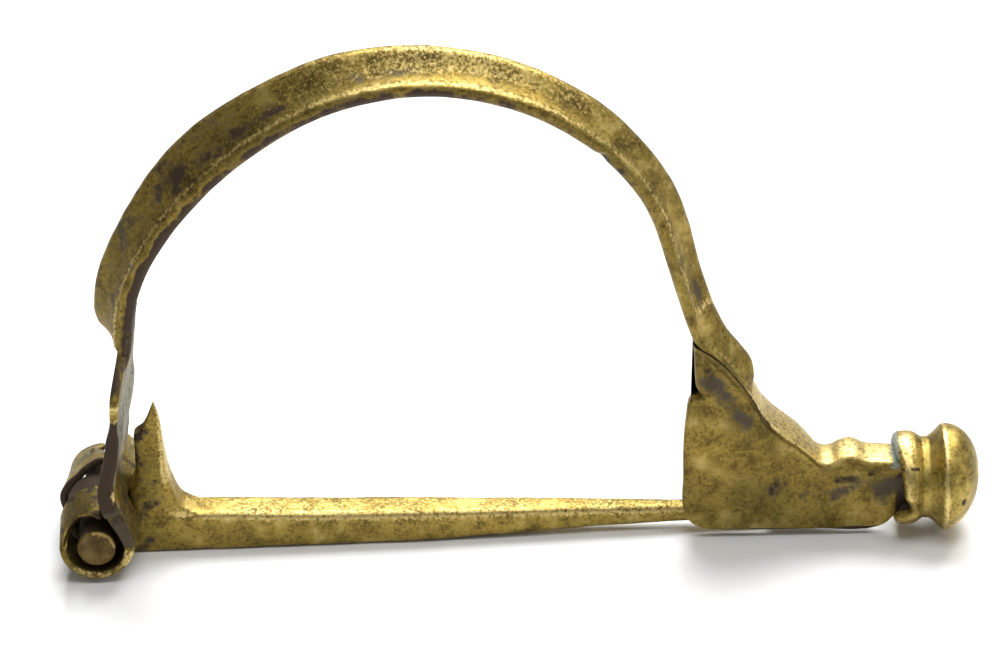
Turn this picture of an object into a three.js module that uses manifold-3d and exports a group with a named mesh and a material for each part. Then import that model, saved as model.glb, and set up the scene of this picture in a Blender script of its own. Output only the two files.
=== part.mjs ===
// A Roman bow brooch (fibula) with a hinged pin, in copper alloy.
//
// Millimetres, +Z up. +X runs from the hinge to the foot, +Y across the brooch, away from the
// catchplate's flat outer face. Z = 0 is the surface that the brooch stands on: the far hinge sleeve,
// the pin and the foot knob touch it. The origin is below the middle of the brooch.
import * as THREE from 'three';
import { mergeVertices } from 'three/addons/utils/BufferGeometryUtils.js';
import Module from 'manifold-3d';

const wasm = await Module();
wasm.setup();

// ---- Driving dimensions -------------------------------------------------------------------------

const GAP = 0.3; // between pieces that touch or turn on each other

const HINGE = {
  x: -25.15, z: 2.3, // axis of the rod
  halfWidth: 4.6, // across both sleeves
  slotHalf: 1.5, // the gap between the sleeves, which holds the pin's eye
  rodRadius: 1.15,
  rodSet: 0.15, // how far the rod's ends stand back from the sleeves' ends
  rodChamfer: 0.2,
};

// The near sleeve is rolled tight. The far one flares towards the pin, so that its rim reaches the
// ground first. Each has a rim at the slot and one at the outer end.
const SLEEVES = {
  near: {
    slotRim: { x: -25.15, z: 2.5, innerRadius: 1.65, outerRadius: 2.2 },
    endRim: { x: -25.15, z: 2.5, innerRadius: 1.65, outerRadius: 2.2 },
    join: 25, lip: 78, // where the roll leaves the plate, and where its free edge lies, in degrees
  },
  far: {
    slotRim: { x: -25.0, z: 2.6, innerRadius: 2.1, outerRadius: 2.6 },
    endRim: { x: -25.15, z: 2.32, innerRadius: 1.65, outerRadius: 2.15 },
    join: 40, lip: 104,
  },
};

const PLATE = {
  neckHalf: 2.35, // where the bow meets it
  shoulderTop: 14.2, // the shoulders slope out from here ...
  shoulderFoot: 12.1, // ... to the full width here
  slotTop: 4.95,
};

// The bow's flat inner face, followed from the head plate to the foot: a start, a heading above
// +X and stretches that each turn steadily. A positive turn bends down towards the foot.
const BOW = {
  start: { x: -23.15, z: 12.6, heading: 62 },
  stretches: [
    { length: 2.86, turn: -24.6 }, // out of the head plate
    { length: 5.5, turn: 28.3 },
    { length: 12.1, turn: 30.5 },
    { length: 20.8, turn: 81.0 }, // over the crown
    { length: 3.9, turn: 21.5 },
    { length: 4.3, turn: 0 }, // straight down to the foot ...
    { length: 4.1, turn: -5 }, // ... and a little out into its neck
  ],
  stepLength: 0.95,
  edge: 0.85, // thickness of the flat side faces
  border: { width: 0.3, rise: 0.1 }, // the raised line beside each edge
  crestHalf: 0.28, // half the width of the flat strip on the crest
  hollow: 0.12, // how far the flanks dip between border and crest
  // Height of the crest above the inner face, and width, at shares of the whole length.
  crest: [[0, 1.0], [0.02, 1.6], [0.045, 2.35], [0.15, 2.55], [0.26, 2.98], [0.37, 2.78], [0.44, 2.6],
    [0.52, 2.36], [0.62, 2.12], [0.72, 1.95], [0.8, 1.85], [0.9, 2.0], [1, 2.15]],
  width: [[0, 4.7], [0.25, 4.8], [0.5, 4.5], [0.83, 4.0], [0.93, 3.7], [1, 3.0]],
};

const CATCH = { near: -0.95, far: -0.15, bottom: 0.5, left: 9.88, right: 21.6, corner: 1.7 };
const LIP = { from: 15, to: 21.2, out: 0.42, height: 0.55 };

const FOOT = {
  // Top edge of the foot bar, from the bow's end over the dip and the hump to the tip.
  topLine: [[13.2, 11.0], [14.3, 8.6], [15.5, 7.35], [16.7, 6.4], [17.8, 5.6], [18.6, 4.98],
    [19.3, 5.15], [20.1, 5.55], [21.2, 5.1], [22.3, 4.85]],
  tipTop: 4.75, // inside the knob's socket
  halfWidth: [[13.2, 1.6], [16.7, 1.5], [18.6, 1.15], [20.2, 0.95], [23, 0.95]],
  depth: 1.7,
  crown: 0.22,
};

const KNOB = {
  x: 22.55, z: 3.3, // its left face, and its axis
  socketRadius: 2.1, socketDepth: 0.95,
  collarRadius: 2.86, collarLength: 1.35,
  neckRadius: 2.35, neckX: 24.35,
  rimRadius: 3.27, rimX: 25.45,
  tipX: 27.6,
};

const PIN = {
  eyeRadius: 2.05, halfWidth: 1.15, rootX: -19.4, tipX: 19.6, aside: 1.3, // degrees that it leans to +Y
  bevel: 0.1,
  spurTip: { y: -0.9, z: 10.3 }, // the spur's far side slopes up to its point ...
  spurFoot: 4.6, // ... from this height
  // Bar: X, lowest and highest Z, width.
  stations: [[-19.6, 0.0, 2.62, 2.3], [-13, 0.0, 2.35, 2.3], [-6, 0.0, 2.15, 2.15], [-1, 0.2, 2.0, 1.85],
    [5, 0.38, 1.82, 1.4], [10.5, 0.5, 1.6, 1.05], [15, 0.65, 1.4, 0.75], [19, 0.85, 1.2, 0.35]],
};

// ---- Solids from geometry -----------------------------------------------------------------------

/** Turns a closed three.js geometry into a solid that can be joined and cut. */
function toSolid(geometry) {
  const bare = geometry.clone();
  for (const name of Object.keys(bare.attributes)) {
    if (name !== 'position') bare.deleteAttribute(name);
  }
  const merged = mergeVertices(bare, 1e-4);
  const mesh = new wasm.Mesh({
    numProp: 3,
    vertProperties: new Float32Array(merged.attributes.position.array),
    triVerts: new Uint32Array(merged.index.array),
  });
  mesh.merge();
  return new wasm.Manifold(mesh);
}

/** Turns a solid back into a geometry for a mesh. */
function toGeometry(solid) {
  const mesh = solid.getMesh();
  const geometry = new THREE.BufferGeometry();
  geometry.setAttribute('position', new THREE.BufferAttribute(new Float32Array(mesh.vertProperties), 3));
  geometry.setIndex(new THREE.BufferAttribute(new Uint32Array(mesh.triVerts), 1));
  geometry.computeVertexNormals();
  return geometry;
}

/** Extrudes an outline of X and Z across the brooch, between two values of Y. */
function acrossY(shape, yFrom, yTo, options = {}) {
  const bevel = options.bevel ?? 0;
  const points = shape.getPoints(options.curveSegments ?? 10);
  const apart = points.filter((p, i) => p.distanceTo(points[(i + 1) % points.length]) > 1e-3);
  const geometry = new THREE.ExtrudeGeometry(new THREE.Shape(apart), {
    depth: yTo - yFrom - 2 * bevel,
    bevelEnabled: bevel > 0,
    bevelSize: bevel,
    bevelOffset: -bevel,
    bevelThickness: bevel,
    bevelSegments: 1,
  });
  geometry.rotateX(Math.PI / 2);
  geometry.translate(0, yTo - bevel, 0);
  return toSolid(geometry);
}

/** Skins rings of equally many points, each an array of Vector3, into a closed solid. */
function loft(rings) {
  const count = rings[0].length;
  const positions = rings.flat().flatMap((p) => [p.x, p.y, p.z]);
  const index = [];
  for (let i = 0; i + 1 < rings.length; i += 1) {
    for (let j = 0; j < count; j += 1) {
      const a = i * count + j;
      const b = i * count + ((j + 1) % count);
      index.push(a, b, b + count, a, b + count, a + count);
    }
  }
  for (const end of [0, rings.length - 1]) {
    const ring = rings[end];
    const centre = ring.reduce((sum, p) => sum.add(p), new THREE.Vector3()).divideScalar(count);
    const middle = positions.length / 3;
    positions.push(centre.x, centre.y, centre.z);
    for (let j = 0; j < count; j += 1) {
      const a = end * count + j;
      const b = end * count + ((j + 1) % count);
      index.push(...(end === 0 ? [middle, b, a] : [middle, a, b]));
    }
  }
  const geometry = new THREE.BufferGeometry();
  geometry.setAttribute('position', new THREE.Float32BufferAttribute(positions, 3));
  geometry.setIndex(index);
  return toSolid(geometry);
}

/** Value at x of a table of [x, value] pairs, eased between them. */
function along(table, x) {
  const last = table.length - 1;
  if (x <= table[0][0]) return table[0][1];
  if (x >= table[last][0]) return table[last][1];
  const i = table.findIndex((pair) => pair[0] > x) - 1;
  const t = THREE.MathUtils.smoothstep(x, table[i][0], table[i + 1][0]);
  const linear = (x - table[i][0]) / (table[i + 1][0] - table[i][0]);
  return THREE.MathUtils.lerp(table[i][1], table[i + 1][1], (t + linear) / 2);
}

/** Extrudes an outline of Y and Z along the brooch, between two values of X. */
function alongX(shape, xFrom, xTo) {
  const geometry = new THREE.ExtrudeGeometry(shape, { depth: xTo - xFrom, bevelEnabled: false });
  geometry.rotateX(Math.PI / 2);
  geometry.rotateZ(Math.PI / 2);
  geometry.translate(xFrom, 0, 0);
  return toSolid(geometry);
}

/** Joins two outlines of equally many points, each at its own Y, into a closed solid. */
function between(shapeA, yA, shapeB, yB) {
  const [a, b] = [shapeA.getPoints(), shapeB.getPoints()];
  if (THREE.ShapeUtils.isClockWise(a)) {
    a.reverse();
    b.reverse();
  }
  const count = a.length;
  const positions = [[a, yA], [b, yB]].flatMap(([points, y]) => points.flatMap((p) => [p.x, y, p.y]));
  const index = [];
  for (let i = 0; i < count; i += 1) {
    const next = (i + 1) % count;
    index.push(i, next + count, next, i, i + count, next + count);
  }
  for (const [i, j, k] of THREE.ShapeUtils.triangulateShape(a, [])) {
    index.push(i, j, k, i + count, k + count, j + count);
  }
  const geometry = new THREE.BufferGeometry();
  geometry.setAttribute('position', new THREE.Float32BufferAttribute(positions, 3));
  geometry.setIndex(index);
  return toSolid(geometry);
}

/** A rod along Y, as a solid. */
function rodAcross(x, z, radius, yFrom, yTo, sides = 28) {
  const rod = new THREE.CylinderGeometry(radius, radius, yTo - yFrom, sides);
  rod.translate(x, (yFrom + yTo) / 2, z);
  return toSolid(rod);
}

// ---- Bow ----------------------------------------------------------------------------------------

/** Stations along the bow's inner face: a point, a heading and the share of the whole length. */
function bowStations() {
  const whole = BOW.stretches.reduce((sum, stretch) => sum + stretch.length, 0);
  const stations = [];
  let { x, z } = BOW.start;
  let heading = THREE.MathUtils.degToRad(BOW.start.heading);
  let travelled = 0;
  stations.push({ x, z, heading, share: 0 });
  for (const stretch of BOW.stretches) {
    const steps = Math.ceil(stretch.length / BOW.stepLength);
    const step = stretch.length / steps;
    const turn = THREE.MathUtils.degToRad(stretch.turn) / steps;
    for (let i = 0; i < steps; i += 1) {
      x += step * Math.cos(heading - turn / 2);
      z += step * Math.sin(heading - turn / 2);
      heading -= turn;
      travelled += step;
      stations.push({ x, z, heading, share: travelled / whole });
    }
  }
  return stations;
}

/** Half of the bow's section, from the inner face's edge to the crest: [across, outward] pairs. */
function bowHalfSection(width, crest) {
  const half = width / 2;
  const edge = Math.min(BOW.edge, crest * 0.75);
  const rise = Math.min(BOW.border.rise, crest * 0.05);
  const inner = half - BOW.border.width;
  const flank = [0.33, 0.66].map((t) => [
    THREE.MathUtils.lerp(inner, BOW.crestHalf, t),
    THREE.MathUtils.lerp(edge, crest, t) - BOW.hollow * Math.sin(Math.PI * t) * (crest / 2.4),
  ]);
  return [[half, 0], [half, edge], [inner, edge + rise], ...flank, [BOW.crestHalf, crest]];
}

function bowArch() {
  const rings = bowStations().map(({ x, z, heading, share }) => {
    const half = bowHalfSection(along(BOW.width, share), along(BOW.crest, share));
    const section = [...half, ...half.map(([across, out]) => [-across, out]).reverse()];
    return section.map(([across, out]) => new THREE.Vector3(
      x - out * Math.sin(heading), across, z + out * Math.cos(heading)));
  });
  return loft(rings);
}

/** Closed outline of a strip that follows centre points with a half thickness at each. */
function stripOutline(points, halves) {
  const sides = [1, -1].map((side) => points.map((p, i) => {
    const before = points[Math.max(i - 1, 0)];
    const after = points[Math.min(i + 1, points.length - 1)];
    const direction = after.clone().sub(before).normalize();
    return new THREE.Vector2(p.x - side * direction.y * halves[i], p.y + side * direction.x * halves[i]);
  }));
  return new THREE.Shape([...sides[0], ...sides[1].reverse()]);
}

/** Centre line of the head plate in X and Z, from inside the bow's end down to the roll. */
function plateCentre() {
  const curve = new THREE.SplineCurve([[-22.95, 14.2], [-23.5, 12.5], [-23.67, 10.6], [-24.0, 8.4],
    [-24.32, 6.7], [-24.22, 5.2]].map(([x, z]) => new THREE.Vector2(x, z)));
  return curve.getPoints(16);
}

/** Half thickness of the head plate at a height. */
const plateHalf = (z) => (z > 9 ? 0.3 : 0.42);

/** Outline of the head plate and its end rolled into a sleeve, at one rim of the sleeve. */
function rolledOutline(rim, { join, lip }) {
  const middle = (rim.innerRadius + rim.outerRadius) / 2;
  const points = plateCentre();
  const halves = points.map((p) => plateHalf(p.y));
  const sweep = 360 - (lip - join);
  const steps = 34;
  for (let i = 0; i <= steps; i += 1) {
    const angle = THREE.MathUtils.degToRad(join - (sweep * i) / steps);
    points.push(new THREE.Vector2(rim.x + middle * Math.cos(angle), rim.z + middle * Math.sin(angle)));
    halves.push((rim.outerRadius - rim.innerRadius) / 2);
  }
  return stripOutline(points, halves);
}

/** One sleeve with its share of the head plate, on one side of the slot. */
function rolledPlate(sleeve, side) {
  const rims = [[sleeve.slotRim, HINGE.slotHalf * side], [sleeve.endRim, HINGE.halfWidth * side]];
  const [[a, yA], [b, yB]] = side > 0 ? rims : rims.reverse();
  return between(rolledOutline(a, sleeve), yA, rolledOutline(b, sleeve), yB);
}

function headPlate() {
  const { near, far } = SLEEVES;
  const lowest = new THREE.Vector2(-24.15, PLATE.slotTop);
  const bridgePoints = [...plateCentre(), lowest];
  const bridge = stripOutline(bridgePoints, bridgePoints.map((p) => plateHalf(p.y)));
  const plate = rolledPlate(near, -1)
    .add(rolledPlate(far, 1))
    .add(acrossY(bridge, -HINGE.slotHalf - 0.1, HINGE.slotHalf + 0.1));
  // The outline seen from the front: narrow under the bow, then sloping shoulders.
  const outline = new THREE.Shape([
    [-PLATE.neckHalf, 16], [-PLATE.neckHalf, PLATE.shoulderTop], [-HINGE.halfWidth, PLATE.shoulderFoot],
    [-HINGE.halfWidth, -1], [HINGE.halfWidth, -1], [HINGE.halfWidth, PLATE.shoulderFoot],
    [PLATE.neckHalf, PLATE.shoulderTop], [PLATE.neckHalf, 16],
  ].map(([y, z]) => new THREE.Vector2(y, z)));
  return plate.intersect(alongX(outline, -32, -20));
}

// ---- Foot ---------------------------------------------------------------------------------------

function footBar() {
  const top = new THREE.SplineCurve(FOOT.topLine.map(([x, z]) => new THREE.Vector2(x, z))).getPoints(26);
  top.push(new THREE.Vector2(KNOB.x + KNOB.socketDepth - GAP, FOOT.tipTop));
  const rings = top.map(({ x, y: z }) => {
    const half = along(FOOT.halfWidth, x);
    const depth = Math.min(FOOT.depth, z - 3);
    return [[-half, z - depth], [half, z - depth], [half, z], [half * 0.45, z + FOOT.crown],
      [-half * 0.45, z + FOOT.crown], [-half, z]].map(([y, height]) => new THREE.Vector3(x, y, height));
  });
  return loft(rings);
}

/** The thick end of the bow above the foot: a faceted block with a flat face on each side. */
function footBlock() {
  const outline = new THREE.Shape([[10.6, 14.3], [12.5, 13.75], [12.95, 13.2], [13.95, 11.0], [13.95, 10.0],
    [13.5, 9.2], [12.4, 9.6], [10.55, 11.4]].map(([x, z]) => new THREE.Vector2(x, z)));
  return acrossY(outline, -1.65, 1.65, { bevel: 0.3 });
}

/** The upright plate under the foot, with the neck that joins it to the bow. */
function catchPlate() {
  const { left, right, bottom, corner } = CATCH;
  const outline = new THREE.Shape();
  outline.moveTo(12.6, 12.6);
  outline.lineTo(10.5, 13.4);
  outline.lineTo(10.45, 10.5);
  outline.lineTo(10.85, 10.0);
  outline.bezierCurveTo(10.0, 8.8, left, 7.4, left, 6.0);
  outline.bezierCurveTo(left, 4.4, left, 3.2, left + 0.12, 2.2);
  outline.quadraticCurveTo(left + 0.3, bottom, left + corner, bottom);
  outline.lineTo(right, bottom);
  outline.lineTo(22.5, 1.2);
  outline.lineTo(KNOB.x + KNOB.socketDepth - GAP, 2.2);
  outline.lineTo(KNOB.x + KNOB.socketDepth - GAP, 4.2);
  outline.lineTo(18.6, 4.2);
  outline.lineTo(14.0, 8.2);
  outline.closePath();
  return acrossY(outline, CATCH.near, CATCH.far, { curveSegments: 6 });
}

/** The neck between the bow's end and the catchplate is thicker than the plate. */
function neck() {
  const outline = new THREE.Shape([[10.47, 13.6], [10.46, 10.6], [10.95, 10.15], [13.2, 9.0],
    [13.4, 11.4]].map(([x, z]) => new THREE.Vector2(x, z)));
  return acrossY(outline, -1.35, 1.35, { bevel: 0.25 });
}

/** What is left of the catch: the plate's lower edge turned up into a low lip on the far side. */
function catchLip() {
  const steps = 6;
  const outline = new THREE.Shape();
  outline.moveTo(CATCH.far - 0.1, CATCH.bottom);
  for (let i = 0; i <= steps; i += 1) {
    const angle = (Math.PI * i) / steps;
    const rise = (LIP.height * (1 - Math.cos(angle))) / 2;
    outline.lineTo(CATCH.far + LIP.out * Math.sin(angle), CATCH.bottom + rise);
  }
  outline.lineTo(CATCH.far - 0.1, CATCH.bottom + LIP.height);
  return alongX(outline, LIP.from, LIP.to);
}

function bow() {
  return [headPlate(), footBar(), footBlock(), catchPlate(), neck(), catchLip()]
    .reduce((whole, piece) => whole.add(piece), bowArch());
}

// ---- Hinge rod, pin and knob --------------------------------------------------------------------

function hingeRod() {
  const end = HINGE.halfWidth - HINGE.rodSet;
  const { rodRadius: radius, rodChamfer: chamfer } = HINGE;
  const profile = [[0, -end], [radius - chamfer, -end], [radius, -end + chamfer], [radius, end - chamfer],
    [radius - chamfer, end], [0, end]].map(([r, y]) => new THREE.Vector2(r, y));
  const rod = new THREE.LatheGeometry(profile, 28);
  rod.translate(HINGE.x, 0, HINGE.z);
  return toSolid(rod);
}

/** The pin's bar: an eight-sided section that tapers to a point, leaning slightly to +Y. */
function pinBar() {
  const lean = Math.tan(THREE.MathUtils.degToRad(PIN.aside));
  const rings = PIN.stations.map(([x, low, high, width]) => {
    const y = (x - PIN.rootX) * lean;
    const half = width / 2;
    const cut = Math.min(0.28 * width, 0.28 * (high - low));
    return [[-half + cut, low], [half - cut, low], [half, low + cut], [half, high - cut], [half - cut, high],
      [-half + cut, high], [-half, high - cut], [-half, low + cut]]
      .map(([across, z]) => new THREE.Vector3(x, y + across, z));
  });
  const tip = new THREE.Vector3(PIN.tipX, (PIN.tipX - PIN.rootX) * lean, 1.0);
  rings.push(rings[0].map((_, i) => {
    const angle = (2 * Math.PI * i) / 8;
    return tip.clone().add(new THREE.Vector3(0, 0.06 * Math.cos(angle - 2), 0.06 * Math.sin(angle - 2)));
  }));
  return loft(rings);
}

/** The pin's eye, root and the pointed spur that stands up beside the head plate. */
function pinRoot() {
  const outline = new THREE.Shape();
  outline.moveTo(PIN.rootX, 0.0);
  outline.lineTo(-23.6, 0.05);
  outline.quadraticCurveTo(-24.5, 0.1, HINGE.x, HINGE.z - PIN.eyeRadius);
  outline.absarc(HINGE.x, HINGE.z, PIN.eyeRadius, -Math.PI / 2, Math.PI / 4, true);
  outline.quadraticCurveTo(-23.0, 4.2, -22.85, 5.4);
  outline.lineTo(-22.8, 8.0);
  outline.lineTo(-22.35, 8.55);
  outline.lineTo(-21.65, 10.2);
  outline.quadraticCurveTo(-21.3, 9.4, -21.15, 7.8);
  outline.quadraticCurveTo(-21.05, 5.8, -20.85, 4.4);
  outline.quadraticCurveTo(-20.6, 3.0, PIN.rootX, 2.62);
  outline.closePath();
  const root = acrossY(outline, -PIN.halfWidth, PIN.halfWidth, { bevel: PIN.bevel, curveSegments: 8 });
  return root.subtract(spurCut());
}

/** What is taken off the spur's far side, so that it ends in a point. */
function spurCut() {
  const { spurTip, spurFoot, halfWidth } = PIN;
  const outline = new THREE.Shape([[halfWidth, spurFoot], [spurTip.y, spurTip.z], [spurTip.y, spurTip.z + 2],
    [halfWidth + 1, spurTip.z + 2], [halfWidth + 1, spurFoot]].map(([y, z]) => new THREE.Vector2(y, z)));
  return alongX(outline, -26, -18);
}

function pin() {
  const hole = rodAcross(HINGE.x, HINGE.z, HINGE.rodRadius + GAP, -3, 3);
  return pinBar().add(pinRoot()).subtract(hole);
}

/** The knob: collar, hollow neck and domed end, with a socket for the foot's tip. */
function footKnob() {
  const arc = (centreX, centreR, radiusX, radiusR, from, to, steps) => {
    const points = [];
    for (let i = 0; i <= steps; i += 1) {
      const angle = THREE.MathUtils.degToRad(from + ((to - from) * i) / steps);
      points.push(new THREE.Vector2(centreR + radiusR * Math.sin(angle), centreX - radiusX * Math.cos(angle)));
    }
    return points;
  };
  const { x, collarLength, collarRadius, neckRadius, neckX, rimRadius, rimX, tipX } = KNOB;
  const profile = [
    new THREE.Vector2(0, x + KNOB.socketDepth),
    new THREE.Vector2(KNOB.socketRadius, x + KNOB.socketDepth),
    new THREE.Vector2(KNOB.socketRadius, x),
    ...arc(x + collarLength / 2, collarRadius - 0.5, collarLength / 2, 0.5, 0, 160, 6),
    new THREE.Vector2(neckRadius, neckX - 0.25),
    new THREE.Vector2(neckRadius + 0.05, neckX + 0.15),
    new THREE.Vector2(rimRadius - 0.35, rimX - 0.45),
    ...arc(rimX, 0, tipX - rimX, rimRadius, 90, 180, 8).slice(0, -1),
    new THREE.Vector2(0, tipX),
  ];
  const knob = new THREE.LatheGeometry(profile, 30);
  knob.rotateZ(-Math.PI / 2);
  knob.translate(0, 0, KNOB.z);
  return toSolid(knob);
}

// ---- The brooch ---------------------------------------------------------------------------------

const brass = (color, roughness) => new THREE.MeshStandardMaterial({ color, roughness, metalness: 1 });

const pieces = [
  ['bow', bow(), brass(0x8f7a3c, 0.45)],
  ['hinge_axis', hingeRod(), brass(0x7a6434, 0.5)],
  ['pin', pin(), brass(0xa88f3e, 0.42)],
  ['foot_knob', footKnob(), brass(0xa8913f, 0.38)],
];

const brooch = new THREE.Group();
brooch.name = 'roman_bow_brooch';
for (const [name, solid, material] of pieces) {
  const mesh = new THREE.Mesh(toGeometry(solid), material);
  mesh.name = name;
  brooch.add(mesh);
}

export default brooch;
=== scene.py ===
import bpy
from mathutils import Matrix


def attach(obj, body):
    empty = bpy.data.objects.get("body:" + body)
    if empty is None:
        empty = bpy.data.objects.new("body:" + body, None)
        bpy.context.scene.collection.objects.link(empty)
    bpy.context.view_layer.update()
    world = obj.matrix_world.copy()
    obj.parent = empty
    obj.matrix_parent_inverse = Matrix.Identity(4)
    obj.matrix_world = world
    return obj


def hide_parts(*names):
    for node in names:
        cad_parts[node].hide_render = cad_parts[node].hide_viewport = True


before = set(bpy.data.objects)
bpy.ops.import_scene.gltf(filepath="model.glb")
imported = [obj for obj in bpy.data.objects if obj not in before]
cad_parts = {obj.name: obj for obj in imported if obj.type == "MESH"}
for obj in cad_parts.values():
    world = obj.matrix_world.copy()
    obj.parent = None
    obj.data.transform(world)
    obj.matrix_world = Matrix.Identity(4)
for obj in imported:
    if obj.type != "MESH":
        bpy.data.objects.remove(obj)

"""A Roman bow brooch in worn, patinated copper alloy, standing on a pale floor.

Every surface is worked out in millimetres with numpy and put into its mesh in metres. The frame is
the CAD part's: +X from the hinge to the foot, +Y across the brooch, +Z up from the floor.
"""

import itertools
import logging
import math
from dataclasses import dataclass, field
from enum import Enum

import bpy
import numpy as np
from mathutils import Matrix

LOG = logging.getLogger("brooch")
MM = 0.001
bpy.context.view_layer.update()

Table = tuple[tuple[float, float], ...]


# ---- Numbers and curves --------------------------------------------------------------------------


def smooth_table(table: Table, x: np.ndarray) -> np.ndarray:
    """Value of a table at x, on a monotone cubic through its points.

    The slope at each point is the harmonic mean of its neighbours' slopes, or zero at a turn, and
    between two points the curve is the cubic Hermite blend of their values and slopes.

    Args:
        table: pairs of position and value, in rising order of position.
        x: positions to look up; outside the table the end value holds.

    Returns:
        The values, in the shape of x.
    """
    px, py = np.array(table, dtype=float).T
    slope = np.diff(py) / np.diff(px)
    inner = np.zeros(len(px))
    same = slope[:-1] * slope[1:] > 0
    total = np.where(same, slope[:-1] + slope[1:], 1.0)
    inner[1:-1] = np.where(same, 2 * slope[:-1] * slope[1:] / total, 0.0)
    inner[0], inner[-1] = slope[0], slope[-1]
    at = np.clip(x, px[0], px[-1])
    i = np.clip(np.searchsorted(px, at, side="right") - 1, 0, len(px) - 2)
    width = px[i + 1] - px[i]
    t = (at - px[i]) / width
    return (
        (1 + 2 * t) * (1 - t) ** 2 * py[i]
        + t * (1 - t) ** 2 * width * inner[i]
        + t * t * (3 - 2 * t) * py[i + 1]
        + t * t * (t - 1) * width * inner[i + 1]
    )


def smooth_path(points: tuple[tuple[float, ...], ...], count: int) -> np.ndarray:
    """A smooth curve through points, evenly spaced along its length.

    Each coordinate is a Catmull-Rom cubic over the chord length, and the curve is then walked at
    equal steps.

    Args:
        points: the points that the curve passes.
        count: how many points come back.

    Returns:
        An array of count rows.
    """
    p = np.array(points, dtype=float)
    chord = np.concatenate([[0], np.cumsum(np.linalg.norm(np.diff(p, axis=0), axis=1))])
    tangent = np.gradient(p, chord, axis=0)
    t = np.linspace(0, chord[-1], count * 6)
    i = np.clip(np.searchsorted(chord, t, side="right") - 1, 0, len(p) - 2)
    width = (chord[i + 1] - chord[i])[:, None]
    u = (t - chord[i])[:, None] / width
    fine = (
        (1 + 2 * u) * (1 - u) ** 2 * p[i]
        + u * (1 - u) ** 2 * width * tangent[i]
        + u * u * (3 - 2 * u) * p[i + 1]
        + u * u * (u - 1) * width * tangent[i + 1]
    )
    walked = np.concatenate([[0], np.cumsum(np.linalg.norm(np.diff(fine, axis=0), axis=1))])
    even = np.linspace(0, walked[-1], count)
    return np.stack([np.interp(even, walked, fine[:, k]) for k in range(p.shape[1])], axis=1)


def smoothstep(low: float, high: float, x: np.ndarray) -> np.ndarray:
    """Zero below low, one above high, and a cubic ease between; high may be the smaller."""
    t = np.clip((x - low) / (high - low), 0, 1)
    return t * t * (3 - 2 * t)


def bump(x: np.ndarray, centre: float, width: float) -> np.ndarray:
    """A bell of height one at centre, down to 0.37 at one width away."""
    return np.exp(-(((x - centre) / width) ** 2))


def rounded(depth: np.ndarray, radius: float) -> np.ndarray:
    """Share of full thickness at a depth in from an edge that is rounded with a radius."""
    inside = np.clip(depth / radius, 0, 1)
    return np.sqrt(np.clip(1 - (1 - inside) ** 2, 0, 1))


class ValueNoise:
    """Smooth, repeatable noise over space: random values on a lattice, eased between its points."""

    SIZE = 32

    def __init__(self, seed: int, cell: float) -> None:
        """Sets up the lattice.

        Args:
            seed: number that fixes the values.
            cell: lattice spacing in millimetres.
        """
        self.lattice = np.random.default_rng(seed).uniform(-1, 1, (self.SIZE,) * 3)
        self.cell = cell

    def __call__(self, points: np.ndarray) -> np.ndarray:
        """Noise between -1 and 1 at points, whose last axis holds X, Y and Z in millimetres."""
        place = points / self.cell
        base = np.floor(place).astype(int)
        part = place - base
        part = part * part * (3 - 2 * part)
        total = np.zeros(points.shape[:-1])
        for corner in itertools.product((0, 1), repeat=3):
            weight = np.prod(np.where(np.array(corner) == 1, part, 1 - part), axis=-1)
            index = (base + corner) % self.SIZE
            total += weight * self.lattice[index[..., 0], index[..., 1], index[..., 2]]
        return total


# ---- Meshes --------------------------------------------------------------------------------------


@dataclass
class Shell:
    """One closed surface: its points in millimetres, its faces, and what is painted on its points."""

    points: np.ndarray
    faces: list[np.ndarray]
    paint: dict[str, np.ndarray] = field(default_factory=dict)

    def outward(self) -> "Shell":
        """The same shell with its faces pointing out: they are turned if the volume is negative."""
        volume = 0.0
        for block in self.faces:
            for k in range(1, block.shape[1] - 1):
                a, b, c = (self.points[block[:, j]] for j in (0, k, k + 1))
                volume += float(np.sum(a * np.cross(b, c)))
        if volume < 0:
            self.faces = [block[:, ::-1] for block in self.faces]
        return self


def loft(rings: np.ndarray) -> Shell:
    """Skins closed rings into a shell, with a fan over each end.

    Args:
        rings: array of ring, point around the ring, and coordinate.

    Returns:
        The closed shell.
    """
    n, m = rings.shape[:2]
    index = np.arange(n * m).reshape(n, m)
    turned = np.roll(index, -1, axis=1)
    quads = np.stack([index[:-1], turned[:-1], turned[1:], index[1:]], axis=-1).reshape(-1, 4)
    ends = np.stack([rings[0].mean(axis=0), rings[-1].mean(axis=0)])
    first = np.stack([turned[0], index[0], np.full(m, n * m)], axis=-1)
    last = np.stack([index[-1], turned[-1], np.full(m, n * m + 1)], axis=-1)
    points = np.concatenate([rings.reshape(-1, 3), ends])
    return Shell(points, [quads, np.concatenate([first, last])]).outward()


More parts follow.
